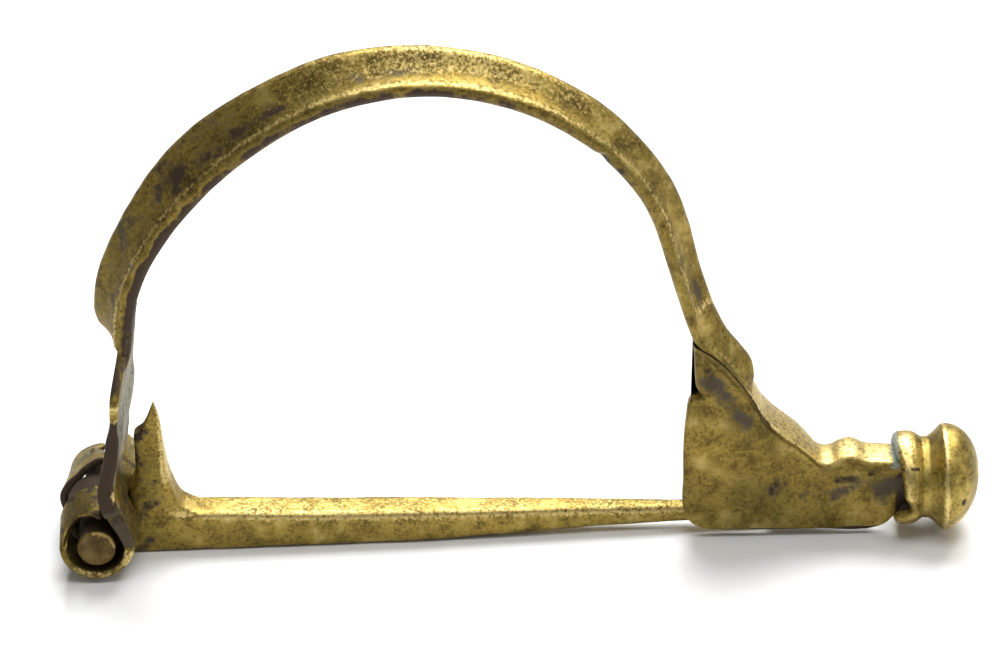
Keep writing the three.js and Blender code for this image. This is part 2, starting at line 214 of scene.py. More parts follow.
def thick_sheet(middle: np.ndarray, half: np.ndarray, present: np.ndarray) -> Shell:
    """Gives a grid of points a thickness and leaves out some of its cells.

    Each point goes half its thickness to either side along the grid's normal, which is the cross
    product of the two grid directions. A wall closes each border between a cell that is present
    and one that isn't.

    Args:
        middle: the sheet's middle surface, (rows, columns, 3).
        half: half thickness at each point, (rows, columns).
        present: which cells there are, (rows - 1, columns - 1).

    Returns:
        The closed shell.
    """
    rows, columns = half.shape
    normal = np.cross(np.gradient(middle, axis=0), np.gradient(middle, axis=1))
    normal /= np.maximum(np.linalg.norm(normal, axis=-1, keepdims=True), 1e-9)
    offset = normal * half[..., None]
    points = np.concatenate([(middle + offset).reshape(-1, 3), (middle - offset).reshape(-1, 3)])
    top = np.arange(rows * columns).reshape(rows, columns)
    bottom = top + rows * columns

    def cells(grid: np.ndarray) -> np.ndarray:
        """Corner numbers of every cell of a grid of point numbers."""
        return np.stack([grid[:-1, :-1], grid[:-1, 1:], grid[1:, 1:], grid[1:, :-1]], axis=-1)

    faces = [cells(top)[present], cells(bottom)[present][:, ::-1]]
    padded = np.pad(present, 1)
    upper, lower, left, right = (
        padded[:-2, 1:-1], padded[2:, 1:-1], padded[1:-1, :-2], padded[1:-1, 2:])
    up, down = cells(top), cells(bottom)
    for missing, a, b in ((upper, 0, 1), (right, 1, 2), (lower, 2, 3), (left, 3, 0)):
        edge = present & ~missing
        faces.append(np.stack([up[edge][:, b], up[edge][:, a], down[edge][:, a], down[edge][:, b]], axis=-1))
    used, packed = np.unique(np.concatenate([f.ravel() for f in faces]), return_inverse=True)
    sizes = np.cumsum([f.size for f in faces])[:-1]
    faces = [part.reshape(-1, 4) for part in np.split(packed.ravel(), sizes)]
    return Shell(points[used], faces).outward()


def joined(shells: list[Shell]) -> Shell:
    """All shells as one, with zero where a shell has none of another's paint."""
    names = sorted({name for shell in shells for name in shell.paint})
    start = np.cumsum([0] + [len(shell.points) for shell in shells])
    faces = [block + offset for shell, offset in zip(shells, start) for block in shell.faces]
    paint = {
        name: np.concatenate([shell.paint.get(name, np.zeros(len(shell.points))) for shell in shells])
        for name in names
    }
    return Shell(np.concatenate([shell.points for shell in shells]), faces, paint)


def to_object(name: str, shell: Shell) -> bpy.types.Object:
    """Puts a shell into a new, smooth-shaded mesh object at the origin, in metres.

    Args:
        name: the object's name.
        shell: its surface; each painted value becomes a point attribute of the same name.

    Returns:
        The object, linked to the scene.
    """
    mesh = bpy.data.meshes.new(name)
    points = (shell.points * MM).astype(np.float32)
    mesh.vertices.add(len(points))
    mesh.vertices.foreach_set("co", points.ravel())
    corners = np.concatenate([block.ravel() for block in shell.faces]).astype(np.int32)
    lengths = np.concatenate([np.full(len(block), block.shape[1]) for block in shell.faces])
    mesh.loops.add(len(corners))
    mesh.loops.foreach_set("vertex_index", corners)
    mesh.polygons.add(len(lengths))
    starts = np.concatenate([[0], np.cumsum(lengths)[:-1]]).astype(np.int32)
    mesh.polygons.foreach_set("loop_start", starts)
    mesh.update(calc_edges=True)
    mesh.validate(clean_customdata=False)
    for key, values in shell.paint.items():
        attribute = mesh.attributes.new(key, "FLOAT", "POINT")
        attribute.data.foreach_set("value", values.astype(np.float32))
    mesh.shade_smooth()
    piece = bpy.data.objects.new(name, mesh)
    bpy.context.collection.objects.link(piece)
    return piece


# ---- Finishes ------------------------------------------------------------------------------------


def linear(hex_colour: str) -> tuple[float, float, float, float]:
    """Linear colour of an sRGB hex value such as "#8f7a3c"."""
    values = [int(hex_colour[i:i + 2], 16) / 255 for i in (1, 3, 5)]
    return (*(v / 12.92 if v <= 0.04045 else ((v + 0.055) / 1.055) ** 2.4 for v in values), 1.0)


@dataclass(frozen=True)
class AgedBrass:
    """Cast brass that has lain in the ground: rubbed bright on its edges, brown where it was not.

    The eye sees olive gold with fine dark specks, brown to violet patina in patches, pale worn
    edges, and a little grey-green corrosion in the hollows. The same layers also hold painted light:
    painted highlights on edges and top faces, painted shade in cracks, gaps and the hinge, and a
    painted grey-green reflection of the floor on the head plate's inner face.
    """

    name: str
    # Pale spots and worn metal, and also the colour of painted highlights.
    bright: str = "#d8c07c"
    metal: str = "#a58d46"
    olive: str = "#85743b"
    # Dark brown for specks and patina, and also the colour of painted shade.
    patina: str = "#40301f"
    violet: str = "#5a4f3c"
    # Grey-green corrosion, and also the colour of a painted floor reflection.
    corrosion: str = "#9aa59a"
    roughness: float = 0.5
    grain_mm: float = 0.2
    grain_bump: float = 0.8
    pit_mm: float = 0.9
    patina_base: float = 0.0


class Painted(Enum):
    """What can be painted on a piece's points, by attribute name."""

    # Dark brown: real patina, and also painted shade in cracks, gaps, the hinge and under the catchplate.
    PATINA_AND_SHADE = "patina"
    VIOLET = "violet"
    # Grey-green: real corrosion, and also a painted floor reflection on the head plate's inner face.
    CORROSION_AND_REFLECTION = "corrosion"
    # Bright metal: real wear, and also painted highlights on edges and top faces.
    WEAR_AND_HIGHLIGHT = "wear"


def node(tree: bpy.types.NodeTree, kind: str, settings: dict | None = None, **inputs) -> bpy.types.Node:
    """Adds a shader node with its settings and links.

    Args:
        tree: the material's node tree.
        kind: node type, such as "ShaderNodeMath".
        settings: the node's own properties.
        inputs: socket values by name, or by number as _0, _1; a socket given here is linked.

    Returns:
        The new node.
    """
    made = tree.nodes.new(kind)
    for key, value in (settings or {}).items():
        setattr(made, key, value)
    for key, value in inputs.items():
        socket = made.inputs[int(key[1:])] if key[0] == "_" else made.inputs[key.replace("__", " ")]
        if isinstance(value, bpy.types.NodeSocket):
            tree.links.new(value, socket)
        else:
            socket.default_value = value
    return made


def ramp(tree: bpy.types.NodeTree, value: bpy.types.NodeSocket,
         stops: tuple[tuple[float, float], ...]) -> bpy.types.NodeSocket:
    """A grey ramp over a value.

    Args:
        tree: the material's node tree.
        value: socket to look up.
        stops: pairs of position and brightness.

    Returns:
        The ramp's colour socket.
    """
    made = node(tree, "ShaderNodeValToRGB", _0=value)
    band = made.color_ramp
    while len(band.elements) < len(stops):
        band.elements.new(0.5)
    for element, (position, level) in zip(band.elements, stops):
        element.position = position
        element.color = (level, level, level, 1)
    return made.outputs[0]


class FinishMaker:
    """Builds the node material of an aged brass finish."""

    def __init__(self, finish: AgedBrass) -> None:
        """Starts an empty material for a finish."""
        self.finish = finish
        self.material = bpy.data.materials.new(finish.name)
        self.material.use_nodes = True
        self.tree = self.material.node_tree
        self.tree.nodes.clear()
        self.place = node(self.tree, "ShaderNodeTexCoord").outputs["Object"]

    def noise(self, size_mm: float, detail: float = 6.0, rough: float = 0.6, offset: float = 0.0,
              stretch: tuple[float, float, float] = (1, 1, 1)) -> bpy.types.NodeSocket:
        """Fractal noise whose largest blobs are about size_mm across; stretch divides its scale."""
        mapping = node(self.tree, "ShaderNodeMapping", Vector=self.place,
                       Location=(offset, offset * 0.7, -offset), Scale=stretch)
        made = node(self.tree, "ShaderNodeTexNoise", Vector=mapping.outputs[0],
                    Scale=1 / (size_mm * MM), Detail=detail, Roughness=rough)
        return made.outputs["Fac"]

    def painted(self, kind: Painted) -> bpy.types.NodeSocket:
        """Value of one painted attribute."""
        return node(self.tree, "ShaderNodeAttribute", {"attribute_name": kind.value}).outputs["Fac"]

    def math(self, operation: str, a, b=0.0, clamp: bool = False) -> bpy.types.NodeSocket:
        """One arithmetic step between sockets or numbers."""
        made = node(self.tree, "ShaderNodeMath", {"operation": operation, "use_clamp": clamp}, _0=a, _1=b)
        return made.outputs[0]

    def mix(self, amount, under, over) -> bpy.types.NodeSocket:
        """Colour under with over laid on it by an amount."""
        made = node(self.tree, "ShaderNodeMix", {"data_type": "RGBA"}, _0=amount, _6=under, _7=over)
        return made.outputs[2]

    def patchy(self, kind: Painted, noise: bpy.types.NodeSocket, sharp: float) -> bpy.types.NodeSocket:
        """A painted value broken into patches: (painted - 0.5 + 2.4 (noise - 0.5)) * sharp + 0.5.

        The noise counts only where something is painted, because the sum is then multiplied by a
        steep ramp of the painted value.
        """
        paint = self.painted(kind)
        spread = self.math("MULTIPLY", self.math("SUBTRACT", noise, 0.5), 2.4)
        moved = self.math("ADD", self.math("SUBTRACT", paint, 0.5), spread)
        patches = self.math("ADD", self.math("MULTIPLY", moved, sharp), 0.5, clamp=True)
        return self.math("MULTIPLY", patches, self.math("MULTIPLY", paint, 8.0, clamp=True))

    def build(self) -> bpy.types.Material:
        """Lays metal, olive tarnish, patina with painted shade, violet stain, corrosion with a painted
        floor reflection, and worn metal with painted highlights over each other.

        Returns:
            The finished material.
        """
        f, tree = self.finish, self.tree
        broad = self.noise(4.5, 5, 0.6)
        middle = self.noise(1.3, 7, 0.65, 0.013)
        fine = self.noise(f.grain_mm, 8, 0.7, 0.031)
        colour = self.mix(ramp(tree, broad, ((0.38, 0.0), (0.62, 1.0))), linear(f.metal), linear(f.olive))
        specks = ramp(tree, self.math("MULTIPLY", middle, fine), ((0.16, 0.75), (0.27, 0.0)))
        colour = self.mix(specks, colour, linear(f.patina))
        pale = ramp(tree, middle, ((0.54, 0.0), (0.70, 0.55)))
        colour = self.mix(pale, colour, linear(f.bright))
        # Patina, and the painted shade that shares its layer.
        patina = self.patchy(Painted.PATINA_AND_SHADE, middle, 3.2)
        if f.patina_base:
            patina = self.math("MAXIMUM", patina, ramp(tree, broad, ((0.42, 0.0), (0.7, f.patina_base))))
        colour = self.mix(patina, colour, linear(f.patina))
        violet = self.patchy(Painted.VIOLET, middle, 3.0)
        colour = self.mix(violet, colour, linear(f.violet))
        # Corrosion, and the painted floor reflection that shares its layer.
        corroded_and_reflecting = self.patchy(Painted.CORROSION_AND_REFLECTION, fine, 3.0)
        colour = self.mix(corroded_and_reflecting, colour, linear(f.corrosion))
        # Worn metal, and the painted highlights that share its layer.
        worn_and_highlit = self.patchy(Painted.WEAR_AND_HIGHLIGHT, fine, 2.6)
        colour = self.mix(worn_and_highlit, colour, linear(f.bright))
        dull = self.math("MAXIMUM", patina, self.math("MAXIMUM", violet, corroded_and_reflecting))
        metallic = self.math("SUBTRACT", 1.0, self.math("MULTIPLY", dull, 0.55))
        base = self.math("ADD", f.roughness, self.math("MULTIPLY", self.math("SUBTRACT", fine, 0.5), 0.35))
        rough = self.math("ADD", base, self.math("MULTIPLY", dull, 0.16))
        rough = self.math("SUBTRACT", rough, self.math("MULTIPLY", worn_and_highlit, 0.08), clamp=True)
        pits = node(tree, "ShaderNodeTexVoronoi", Vector=self.place, Scale=1 / (f.pit_mm * MM))
        pit_depth = ramp(tree, pits.outputs["Distance"], ((0.05, 0.0), (0.16, 1.0)))
        relief = self.math("ADD", self.math("MULTIPLY", fine, 0.6), self.math("MULTIPLY", middle, 0.7))
        relief = self.math("ADD", relief, self.math("MULTIPLY", pit_depth, 0.25))
        bumped = node(tree, "ShaderNodeBump", Strength=f.grain_bump, Distance=0.07 * MM, Height=relief)
        shader = node(tree, "ShaderNodeBsdfPrincipled", Base__Color=colour, Metallic=metallic,
                      Roughness=rough, Normal=bumped.outputs[0])
        node(tree, "ShaderNodeOutputMaterial", Surface=shader.outputs[0])
        return self.material


BOW_BRASS = AgedBrass("aged brass, cast and filed")
PIN_BRASS = AgedBrass("aged brass, hammered", metal="#b1984d", olive="#94813f", pit_mm=1.1)
ROD_BRASS = AgedBrass("aged brass, dull with dirt", metal="#8a7440", olive="#6d5a34", bright="#b59c62",
                      roughness=0.55, patina_base=0.6)
KNOB_BRASS = AgedBrass("aged brass, turned and worn smooth", metal="#b09950", olive="#938041",
                       grain_bump=0.5, roughness=0.45)


# ---- The bow -------------------------------------------------------------------------------------


@dataclass
class BowArch:
    """The ridged arch: an inner flat face followed from the head plate to the wedge over the foot."""

    start: tuple[float, float, float] = (-23.15, 12.6, 62.0)
    stretches: Table = ((2.86, -24.6), (5.5, 28.3), (12.1, 30.5), (20.8, 81.0), (3.9, 21.5), (4.3, 0.0),
                        (4.1, -5.0), (3.9, 0.0))
    foot_at: float = 52.6  # where the wedge over the foot begins, along the inner face
    crest: Table = ((0, 0.52), (1.2, 0.62), (2.0, 1.25), (2.7, 2.05), (3.6, 2.42), (8.0, 2.6), (13.9, 2.98),
                    (19.8, 2.78), (23.6, 2.6), (27.9, 2.36), (33.2, 2.12), (38.6, 1.95), (43.0, 1.85),
                    (48.5, 1.74), (51.1, 1.71), (52.2, 1.8), (53.4, 1.95), (54.6, 2.3), (55.8, 2.6),
                    (56.7, 2.45), (57.46, 1.98))
    half_width: Table = ((0, 2.35), (13.4, 2.4), (26.8, 2.25), (44.5, 2.0), (50.0, 1.85), (53.0, 1.72),
                         (57.4, 1.62))
    lift: Table = ((52.7, 0.0), (53.2, 0.2), (53.6, 0.48), (54.0, 0.76), (54.45, 0.98), (54.9, 1.18),
                   (55.3, 1.3), (56.0, 1.52), (56.7, 1.7), (57.46, 1.82))
    edge: Table = ((0, 0.4), (3, 1.05), (20, 1.0), (34, 0.88), (44, 0.8), (50.5, 0.72), (52.2, 0.5), (54, 0.32),
                   (57.4, 0.1))
    border: Table = ((0, 0.0), (2, 0.3), (4, 1.0), (17, 0.9), (24, 0.4), (36, 0.3), (48, 0.4), (50.3, 0.0))
    hollow: Table = ((0, 0.0), (4, 0.10), (14, 0.2), (28, 0.2), (40, 0.14), (46, 0.16), (50.1, 0.3),
                     (51.2, 0.02), (57, 0.0))
    crest_half: float = 0.3
    stations: int = 560

    def path(self) -> tuple[np.ndarray, np.ndarray, np.ndarray]:
        """Follows the inner face: the heading falls evenly along each stretch, and the place is its sum.

        Returns:
            Distance travelled, points in X and Z, and heading in radians, at every station.
        """
        lengths, turns = np.array(self.stretches).T
        travelled = np.linspace(0, lengths.sum(), self.stations)
        ends = np.concatenate([[0], np.cumsum(lengths)])
        headings = self.start[2] - np.concatenate([[0], np.cumsum(turns)])
        heading = np.radians(np.interp(travelled, ends, headings))
        step = travelled[1] - travelled[0]
        middle = (heading[1:] + heading[:-1]) / 2
        x = self.start[0] + np.concatenate([[0], np.cumsum(np.cos(middle) * step)])
        z = self.start[1] + np.concatenate([[0], np.cumsum(np.sin(middle) * step)])
        return travelled, np.stack([x, z], axis=1), heading

    def half_section(self, s: np.ndarray) -> np.ndarray:
        """Half of the section at each station, as points from the inner face's middle to the crest.

        The side stands up from the inner face, bulges a little, ends in a raised border, and a
        hollow flank runs from there to the flat strip on the crest.

        Args:
            s: distance travelled.

        Returns:
            (stations, points, 2): across, and out from the inner face.
        """
        half = smooth_table(self.half_width, s)
        crest = smooth_table(self.crest, s)
        low = smooth_table(self.lift, s)
        edge = np.minimum(low + smooth_table(self.edge, s), crest - 0.2)
        line = smooth_table(self.border, s)
        hollow = smooth_table(self.hollow, s)
        room = edge - low
        columns: list[tuple[np.ndarray, np.ndarray]] = []
        for t in np.linspace(0, 1, 8)[:-1]:
            columns.append((t * (half - 0.4), low + 0.04 * (1 - t * t) * (room > 0.3)))
        for t in np.linspace(0, 1, 12):
            bulge = 0.10 * np.sin(math.pi * t) - 0.4 * (1 - t) ** 2.4 - 0.10 * t ** 3
            columns.append((half + bulge, low + room * t))
        columns.append((half - 0.17, edge + 0.05 * line))
        columns.append((half - 0.24, edge + 0.02 * line))
        columns.append((half - 0.36, edge + 0.03 * line + 0.08))
        columns.append((half - 0.44, edge + 0.13 * line + 0.12))
        columns.append((half - 0.52, edge + 0.06 * line + 0.17))
        start_across, start_out = columns[-1]
        for t in np.linspace(0, 1, 20)[1:]:
            across = start_across + (self.crest_half - start_across) * t
            out = start_out + (crest - start_out) * t - hollow * np.sin(math.pi * t ** 0.85)
            columns.append((across, out))
        columns.append((np.full_like(s, self.crest_half * 0.5), crest + 0.02))
        columns.append((np.zeros_like(s), crest + 0.02))
        return np.stack([np.stack(pair, axis=-1) for pair in columns], axis=1)

    def build(self) -> Shell:
        """The arch with its worn, slightly uneven edges, the nick on its inner edge and its patina, with
        painted highlights along the edge line and round the top, and painted shade in the crack over the foot.

        Returns:
            The shell, painted.
        """
        s, path, heading = self.path()
        half = self.half_section(s)
        other = half[:, -2:0:-1] * np.array([-1, 1])
        section = np.concatenate([half, other], axis=1)
        for _ in range(2):
            section = 0.5 * section + 0.25 * (np.roll(section, 1, axis=1) + np.roll(section, -1, axis=1))
        across, out = section[..., 0], section[..., 1]
        nick = bump(s, 38.9, 0.28)[:, None] * smoothstep(-1.3, -1.9, across) * smoothstep(0.9, 0.2, out)
        out = out + 0.28 * nick
        x = path[:, 0:1] - out * np.sin(heading)[:, None]
        z = path[:, 1:2] + out * np.cos(heading)[:, None]
        rings = np.stack([x, across, z], axis=-1)
        wobble = ValueNoise(3, 2.6)(rings) * 0.045 + ValueNoise(4, 0.8)(rings) * 0.018
        centre = rings.mean(axis=1, keepdims=True)
        away = rings - centre
        away /= np.linalg.norm(away, axis=-1, keepdims=True)
        shell = loft(rings + away * wobble[..., None])
        travelled = np.repeat(s[:, None], rings.shape[1], axis=1)
        low = smooth_table(self.lift, s)[:, None]
        crest = smooth_table(self.crest, s)[:, None]
        side = smoothstep(0.95, 0.45, out - low) * smoothstep(50, 40, travelled)
        dark = side * smooth_table(((0, 1.0), (8, 1.0), (14, 0.85), (22, 0.75), (30, 0.8), (36, 0.55), (50, 0.3)),
                                   travelled)
        inner = smoothstep(0.12, 0.0, out - low) * smoothstep(51, 47, travelled)
        patches = 0.62 * bump(travelled, 12.8, 0.9) * bump(out, 1.9, 0.5)
        patches += 0.55 * bump(travelled, 18.5, 3.2) * bump(out, 1.5, 0.35)
        patches += 0.34 * bump(travelled, 12, 7) * smoothstep(0.9, 1.3, out)
        patina = np.maximum.reduce([0.8 * dark, 0.75 * inner, patches])
        grey = 0.75 * bump(travelled, 49.7, 1.3) * smoothstep(0.8, 1.1, out) * smoothstep(crest - 0.1, crest - 0.5, out)
        grey = grey + 0.42 * bump(travelled, 27, 6) * bump(out, 1.45, 0.3) + 0.35 * bump(travelled, 6, 6) * (out > 0.9)
        # Painted highlight: a bright line along the top of the side face, where it meets the border.
        edge_highlight = bump(out - low - smooth_table(self.edge, s)[:, None], 0.08, 0.1)
        wear = 0.62 * edge_highlight * smooth_table(((0, 0.8), (20, 0.85), (26, 1.0), (36, 0.9), (51, 0.5), (57, 0.4)),
                                                 travelled)
        wear = np.maximum(wear, 0.52 * bump(travelled, 50.9, 0.3) * (out > 0.8))
        # Painted highlight on the flanks round the top of the arch.
        wear = np.maximum(wear, 0.45 * bump(travelled, 30, 9) * smoothstep(1.1, 1.5, out))
        # Painted shade: the wedge's lower edge, in the crack where it sits on the foot, is darkened.
        crack = smoothstep(0.22, 0.0, out - low) * smoothstep(52.2, 52.8, travelled)
        extra = np.zeros(2)
        for kind, grid in ((Painted.PATINA_AND_SHADE, np.maximum(patina * (travelled < 52), crack)),
                           (Painted.VIOLET, grey), (Painted.WEAR_AND_HIGHLIGHT, wear)):
            shell.paint[kind.value] = np.concatenate([grid.ravel(), extra])
        return shell


@dataclass
class HeadPlate:
    """The plate at the bow's head, whose lower end is rolled into two sleeves round the hinge rod."""

    half_width: float = 4.6
    slot_half: float = 1.3
    slot_top: float = 4.55
    plate: tuple[tuple[float, float], ...] = (
        (-23.0, 15.4), (-23.35, 13.6), (-23.52, 12.5), (-23.66, 10.8), (-23.85, 9.3), (-24.07, 7.9),
        (-24.36, 6.6), (-24.4, 5.8), (-24.2, 4.9))
    near_turn: tuple[tuple[float, float], ...] = ((-23.78, 4.05), (-23.4, 3.2))
    far_turn: tuple[tuple[float, float], ...] = ((-23.72, 4.55), (-23.05, 3.85))
    near_cut: float = 1.45  # how far the near sleeve's end is broken back at its upper left
    near_centre: tuple[float, float] = (-25.15, 2.5)
    near_radius: Table = ((-284, 1.86), (-268, 1.82), (-250, 1.60), (-216, 1.62), (-195, 1.80), (-180, 1.95),
                          (-90, 1.97), (0, 1.95))
    neck_centre: tuple[float, float] = (-25.1, 2.6)
    neck_radius: Table = ((-284, 2.2), (-250, 2.1), (-216, 2.1), (-180, 2.15), (-90, 2.2), (0, 2.1))
    rim_centre: tuple[float, float] = (-25.0, 2.6)
    rim_radius: Table = ((-266, 2.38), (-250, 2.14), (-222, 1.95), (-200, 2.2), (-175, 2.5), (-130, 2.45),
                         (-90, 2.34), (0, 2.25))
    end_centre: tuple[float, float] = (-25.15, 2.32)
    end_radius: Table = ((-266, 1.88), (-90, 1.9), (0, 1.9))
    half_thickness: Table = ((0, 0.27), (3.0, 0.28), (4.8, 0.23), (6.0, 0.40), (8.5, 0.43), (9.8, 0.52),
                             (11.0, 0.5), (12.5, 0.40), (13.5, 0.30), (15.5, 0.2), (19.0, 0.22), (26.5, 0.2))
    slant: float = 0.055  # how far +X the plate goes for each millimetre across
    rows: int = 330

    def curve(self, turn: tuple, centre: tuple[float, float], radius: Table, lip: float) -> np.ndarray:
        """The sheet's middle line at one Y: down the plate, round the turn, then the roll by angle.

        Args:
            turn: points between the plate and the roll.
            centre: the roll's centre in X and Z.
            radius: middle radius by angle in degrees, from +X towards +Z.
            lip: angle of the roll's free edge.

        Returns:
            Evenly spaced points in X and Z, self.rows of them.
        """
        angles = np.linspace(-4, lip, 34)
        r = smooth_table(radius, angles)
        roll = np.stack([centre[0] + r * np.cos(np.radians(angles)),
                         centre[1] + r * np.sin(np.radians(angles))], axis=1)
        points = [*self.plate, *turn, *map(tuple, roll)]
        return smooth_path(tuple(points), self.rows)

    def build(self) -> Shell:
        """The plate and both sleeves as one thick sheet with the slot left out.

        Rows follow the middle line and columns go across. Between the slot's rim and its outer end
        the far sleeve's line is the mean of its two curves, weighted by the place across.

        Returns:
            The shell, painted.
        """
        near = self.curve(self.near_turn, self.near_centre, self.near_radius, -283)
        neck = self.curve(self.near_turn, self.neck_centre, self.neck_radius, -281)
        rim = self.curve(self.far_turn, self.rim_centre, self.rim_radius, -275)
        end = self.curve(self.far_turn, self.end_centre, self.end_radius, -268)
        edge_in = np.array([0, 0.02, 0.05, 0.09, 0.14, 0.2])
        block = np.concatenate([edge_in, np.linspace(0.32, 2.78, 16), 3.1 - edge_in[::-1]])
        middle_columns = np.linspace(-self.slot_half, self.slot_half, 13)[1:-1]
        y = np.concatenate([block - self.half_width, middle_columns, block + self.slot_half])
        columns = len(y)
        side = smoothstep(-self.slot_half, self.slot_half, y)
        outer = np.clip((y - self.slot_half) / (self.half_width - self.slot_half), 0, 1)
        inner = np.clip((y + self.half_width) / (self.half_width - self.slot_half), 0, 1) ** 0.8
        sleeve = near[:, None] * (1 - inner)[None, :, None] + neck[:, None] * inner[None, :, None]
        line = (sleeve * (1 - side)[None, :, None]
                + (rim[:, None] * (1 - outer)[None, :, None] + end[:, None] * outer[None, :, None])
                * side[None, :, None])
        height = near[:, 1]
        in_plate = np.arange(self.rows) < int(np.argmax(height < self.slot_top + 0.05))
        shoulder = smooth_table(((12.0, 4.6), (12.25, 4.5), (14.0, 2.45), (14.4, 2.3), (16, 2.3)), height)
        far_shoulder = smooth_table(((12.3, 4.6), (12.6, 4.55), (14.8, 2.6), (15.2, 2.3), (16, 2.3)), height)
        limit = np.where(in_plate, shoulder, self.half_width)[:, None]
        far_limit = np.where(in_plate, far_shoulder, self.half_width)[:, None]
        spread = np.repeat(y[None], self.rows, axis=0)
        spread = np.where(spread < 0, spread * limit / self.half_width, spread * far_limit / self.half_width)
        wavy = ValueNoise(9, 1.1)(np.stack([line[..., 0], np.sign(spread) * 7, line[..., 1]], axis=-1))
        spread = spread * (1 + 0.012 * wavy * smoothstep(3.5, 4.6, np.abs(spread)))
        turn = np.degrees(np.arctan2(near[:, 1] - self.near_centre[1], near[:, 0] - self.near_centre[0])) % 360
        cut = self.near_cut * smooth_table(((0, 0), (80, 0.25), (100, 0.6), (130, 1.0), (158, 0.85), (185, 0.0),
                                            (360, 0)), turn) * ~in_plate * (1 + 0.25 * wavy[:, 0])
        spread = np.where(y < 0, -self.slot_half + (spread + self.slot_half)
                          * (1 - cut[:, None] / (self.half_width - self.slot_half)), spread)
        grid = np.stack([line[..., 0], spread, line[..., 1]], axis=-1)
        lean = self.slant * (spread + self.half_width) * smoothstep(4.2, 6.5, grid[..., 2])
        grid[..., 0] += lean * in_plate[:, None]
        lengths = np.concatenate([[0], np.cumsum(np.linalg.norm(np.diff(near, axis=0), axis=1))])
        half = np.repeat(smooth_table(self.half_thickness, lengths)[:, None], columns, axis=1)
        to_edge = np.minimum(self.half_width - np.abs(y)[None], np.where(
            in_plate[:, None], 9.0, np.abs(np.abs(y)[None] - self.slot_half)))
        half = half * (0.45 + 0.55 * rounded(to_edge, 0.2))
        ragged = 0.25 * ValueNoise(12, 0.7)(np.stack([0 * y, y, 0 * y], axis=-1))
        half = half * (0.4 + 0.6 * rounded((lengths[-1] - lengths)[:, None] * np.ones(columns), 0.25))
        last = grid[-1] - grid[-2]
        fade = smoothstep(lengths[-1] - 1.5, lengths[-1], lengths)[:, None, None]
        pull = last / np.linalg.norm(last, axis=-1, keepdims=True) * ragged[:, None]
        grid = grid + fade * pull[None]
        grid[..., 0] += 0.03 * ValueNoise(10, 1.7)(grid)
        present = np.ones((self.rows - 1, columns - 1), dtype=bool)
        first = len(block) - 1
        present[~in_plate[:-1], first:first + 12] = False
        shell = thick_sheet(grid, half, present)
        self.dress(shell)
        return shell

    def dress(self, shell: Shell) -> None:
        """Paints the dark near edge, the greenish lip and the worn nicks, with painted shade inside the
        sleeves and a painted grey-green floor reflection on the plate's inner face.
        """
        x, y, z = shell.points.T
        near_edge = smoothstep(-4.25, -4.5, y)
        roll = np.hypot(x - self.near_centre[0], z - self.near_centre[1])
        angle = np.degrees(np.arctan2(z - self.near_centre[1], x - self.near_centre[0])) % 360
        inside = smoothstep(1.75, 1.55, roll) * (y < 0) + smoothstep(2.05, 1.8, roll) * (y > 0)
        plate_edge = near_edge * smoothstep(11.3, 10.9, z) * ((z > 4.9) | ((x > -25.2) & (angle < 80)))
        # The inside of both sleeves, round the rod, is darkened with painted shade.
        patina = np.maximum(1.1 * plate_edge, 0.9 * inside * (z < 4.9))
        patina = np.maximum(patina, 0.42 * (z < 4.9) * (y < -1.2))
        patina = np.maximum(patina, 0.8 * (y < 0) * bump(z, 13.1, 0.9) * smoothstep(-23.0, -23.3, x))
        patina = np.maximum(patina, 0.7 * (y < 0) * smoothstep(13.6, 14.6, z))
        far_rim = smoothstep(1.7, 1.4, y) * (y > 1.0) * (z < 5.6)
        patina = np.maximum(patina, 0.7 * far_rim)
        patina = np.maximum(patina, 0.85 * bump(z, 4.3, 0.5) * bump(x, -23.6, 0.3) * (y < -2))
        violet = 0.72 * near_edge * smoothstep(5.4, 4.4, z) * (x > -24.9) * (angle < 80)
        violet = np.maximum(violet, 0.5 * smoothstep(4.8, 5.6, z) * smoothstep(-24.0, -23.7, x - 0.03 * z) * (y > -4.3))
        corrosion = 0.62 * near_edge * (angle > 84) * (angle < 150) * (z > 3) * (z < 4.9)
        corrosion = np.maximum(corrosion, 0.55 * inside * (angle > 170) * (angle < 250) * (y < 0))
        corrosion = np.maximum(corrosion, 0.34 * smoothstep(2.0, 2.6, y) * (z < 5) * smoothstep(1.9, 2.1, roll))
        # Painted reflection: the plate's inner face is painted pale grey-green, standing in for the floor mirrored in
        # it.
        corrosion = np.maximum(corrosion, 0.42 * smoothstep(5.4, 7.0, z) * (x > -24.05 + 0.03 * (z - 9)) * (y > -4.3)
                               * smoothstep(12.3, 11.9, z))
        wear = 0.42 * near_edge * (angle > 225) * (angle < 340) * (z < 2.5)
        wear = np.maximum(wear, 0.6 * near_edge * (angle > 322) * (angle < 352) * (z < 2.5))
        wear = np.maximum(wear, near_edge * bump(z, 6.0, 0.35) * smoothstep(-24.2, -23.9, x))
        wear = np.maximum(wear, 0.75 * near_edge * bump(z, 11.9, 0.35))
        wear = np.maximum(wear, 0.6 * near_edge * bump(z, 11.1, 0.15))
        for kind, values in ((Painted.PATINA_AND_SHADE, patina), (Painted.VIOLET, violet),
                             (Painted.CORROSION_AND_REFLECTION, corrosion), (Painted.WEAR_AND_HIGHLIGHT, wear)):
            shell.paint[kind.value] = values


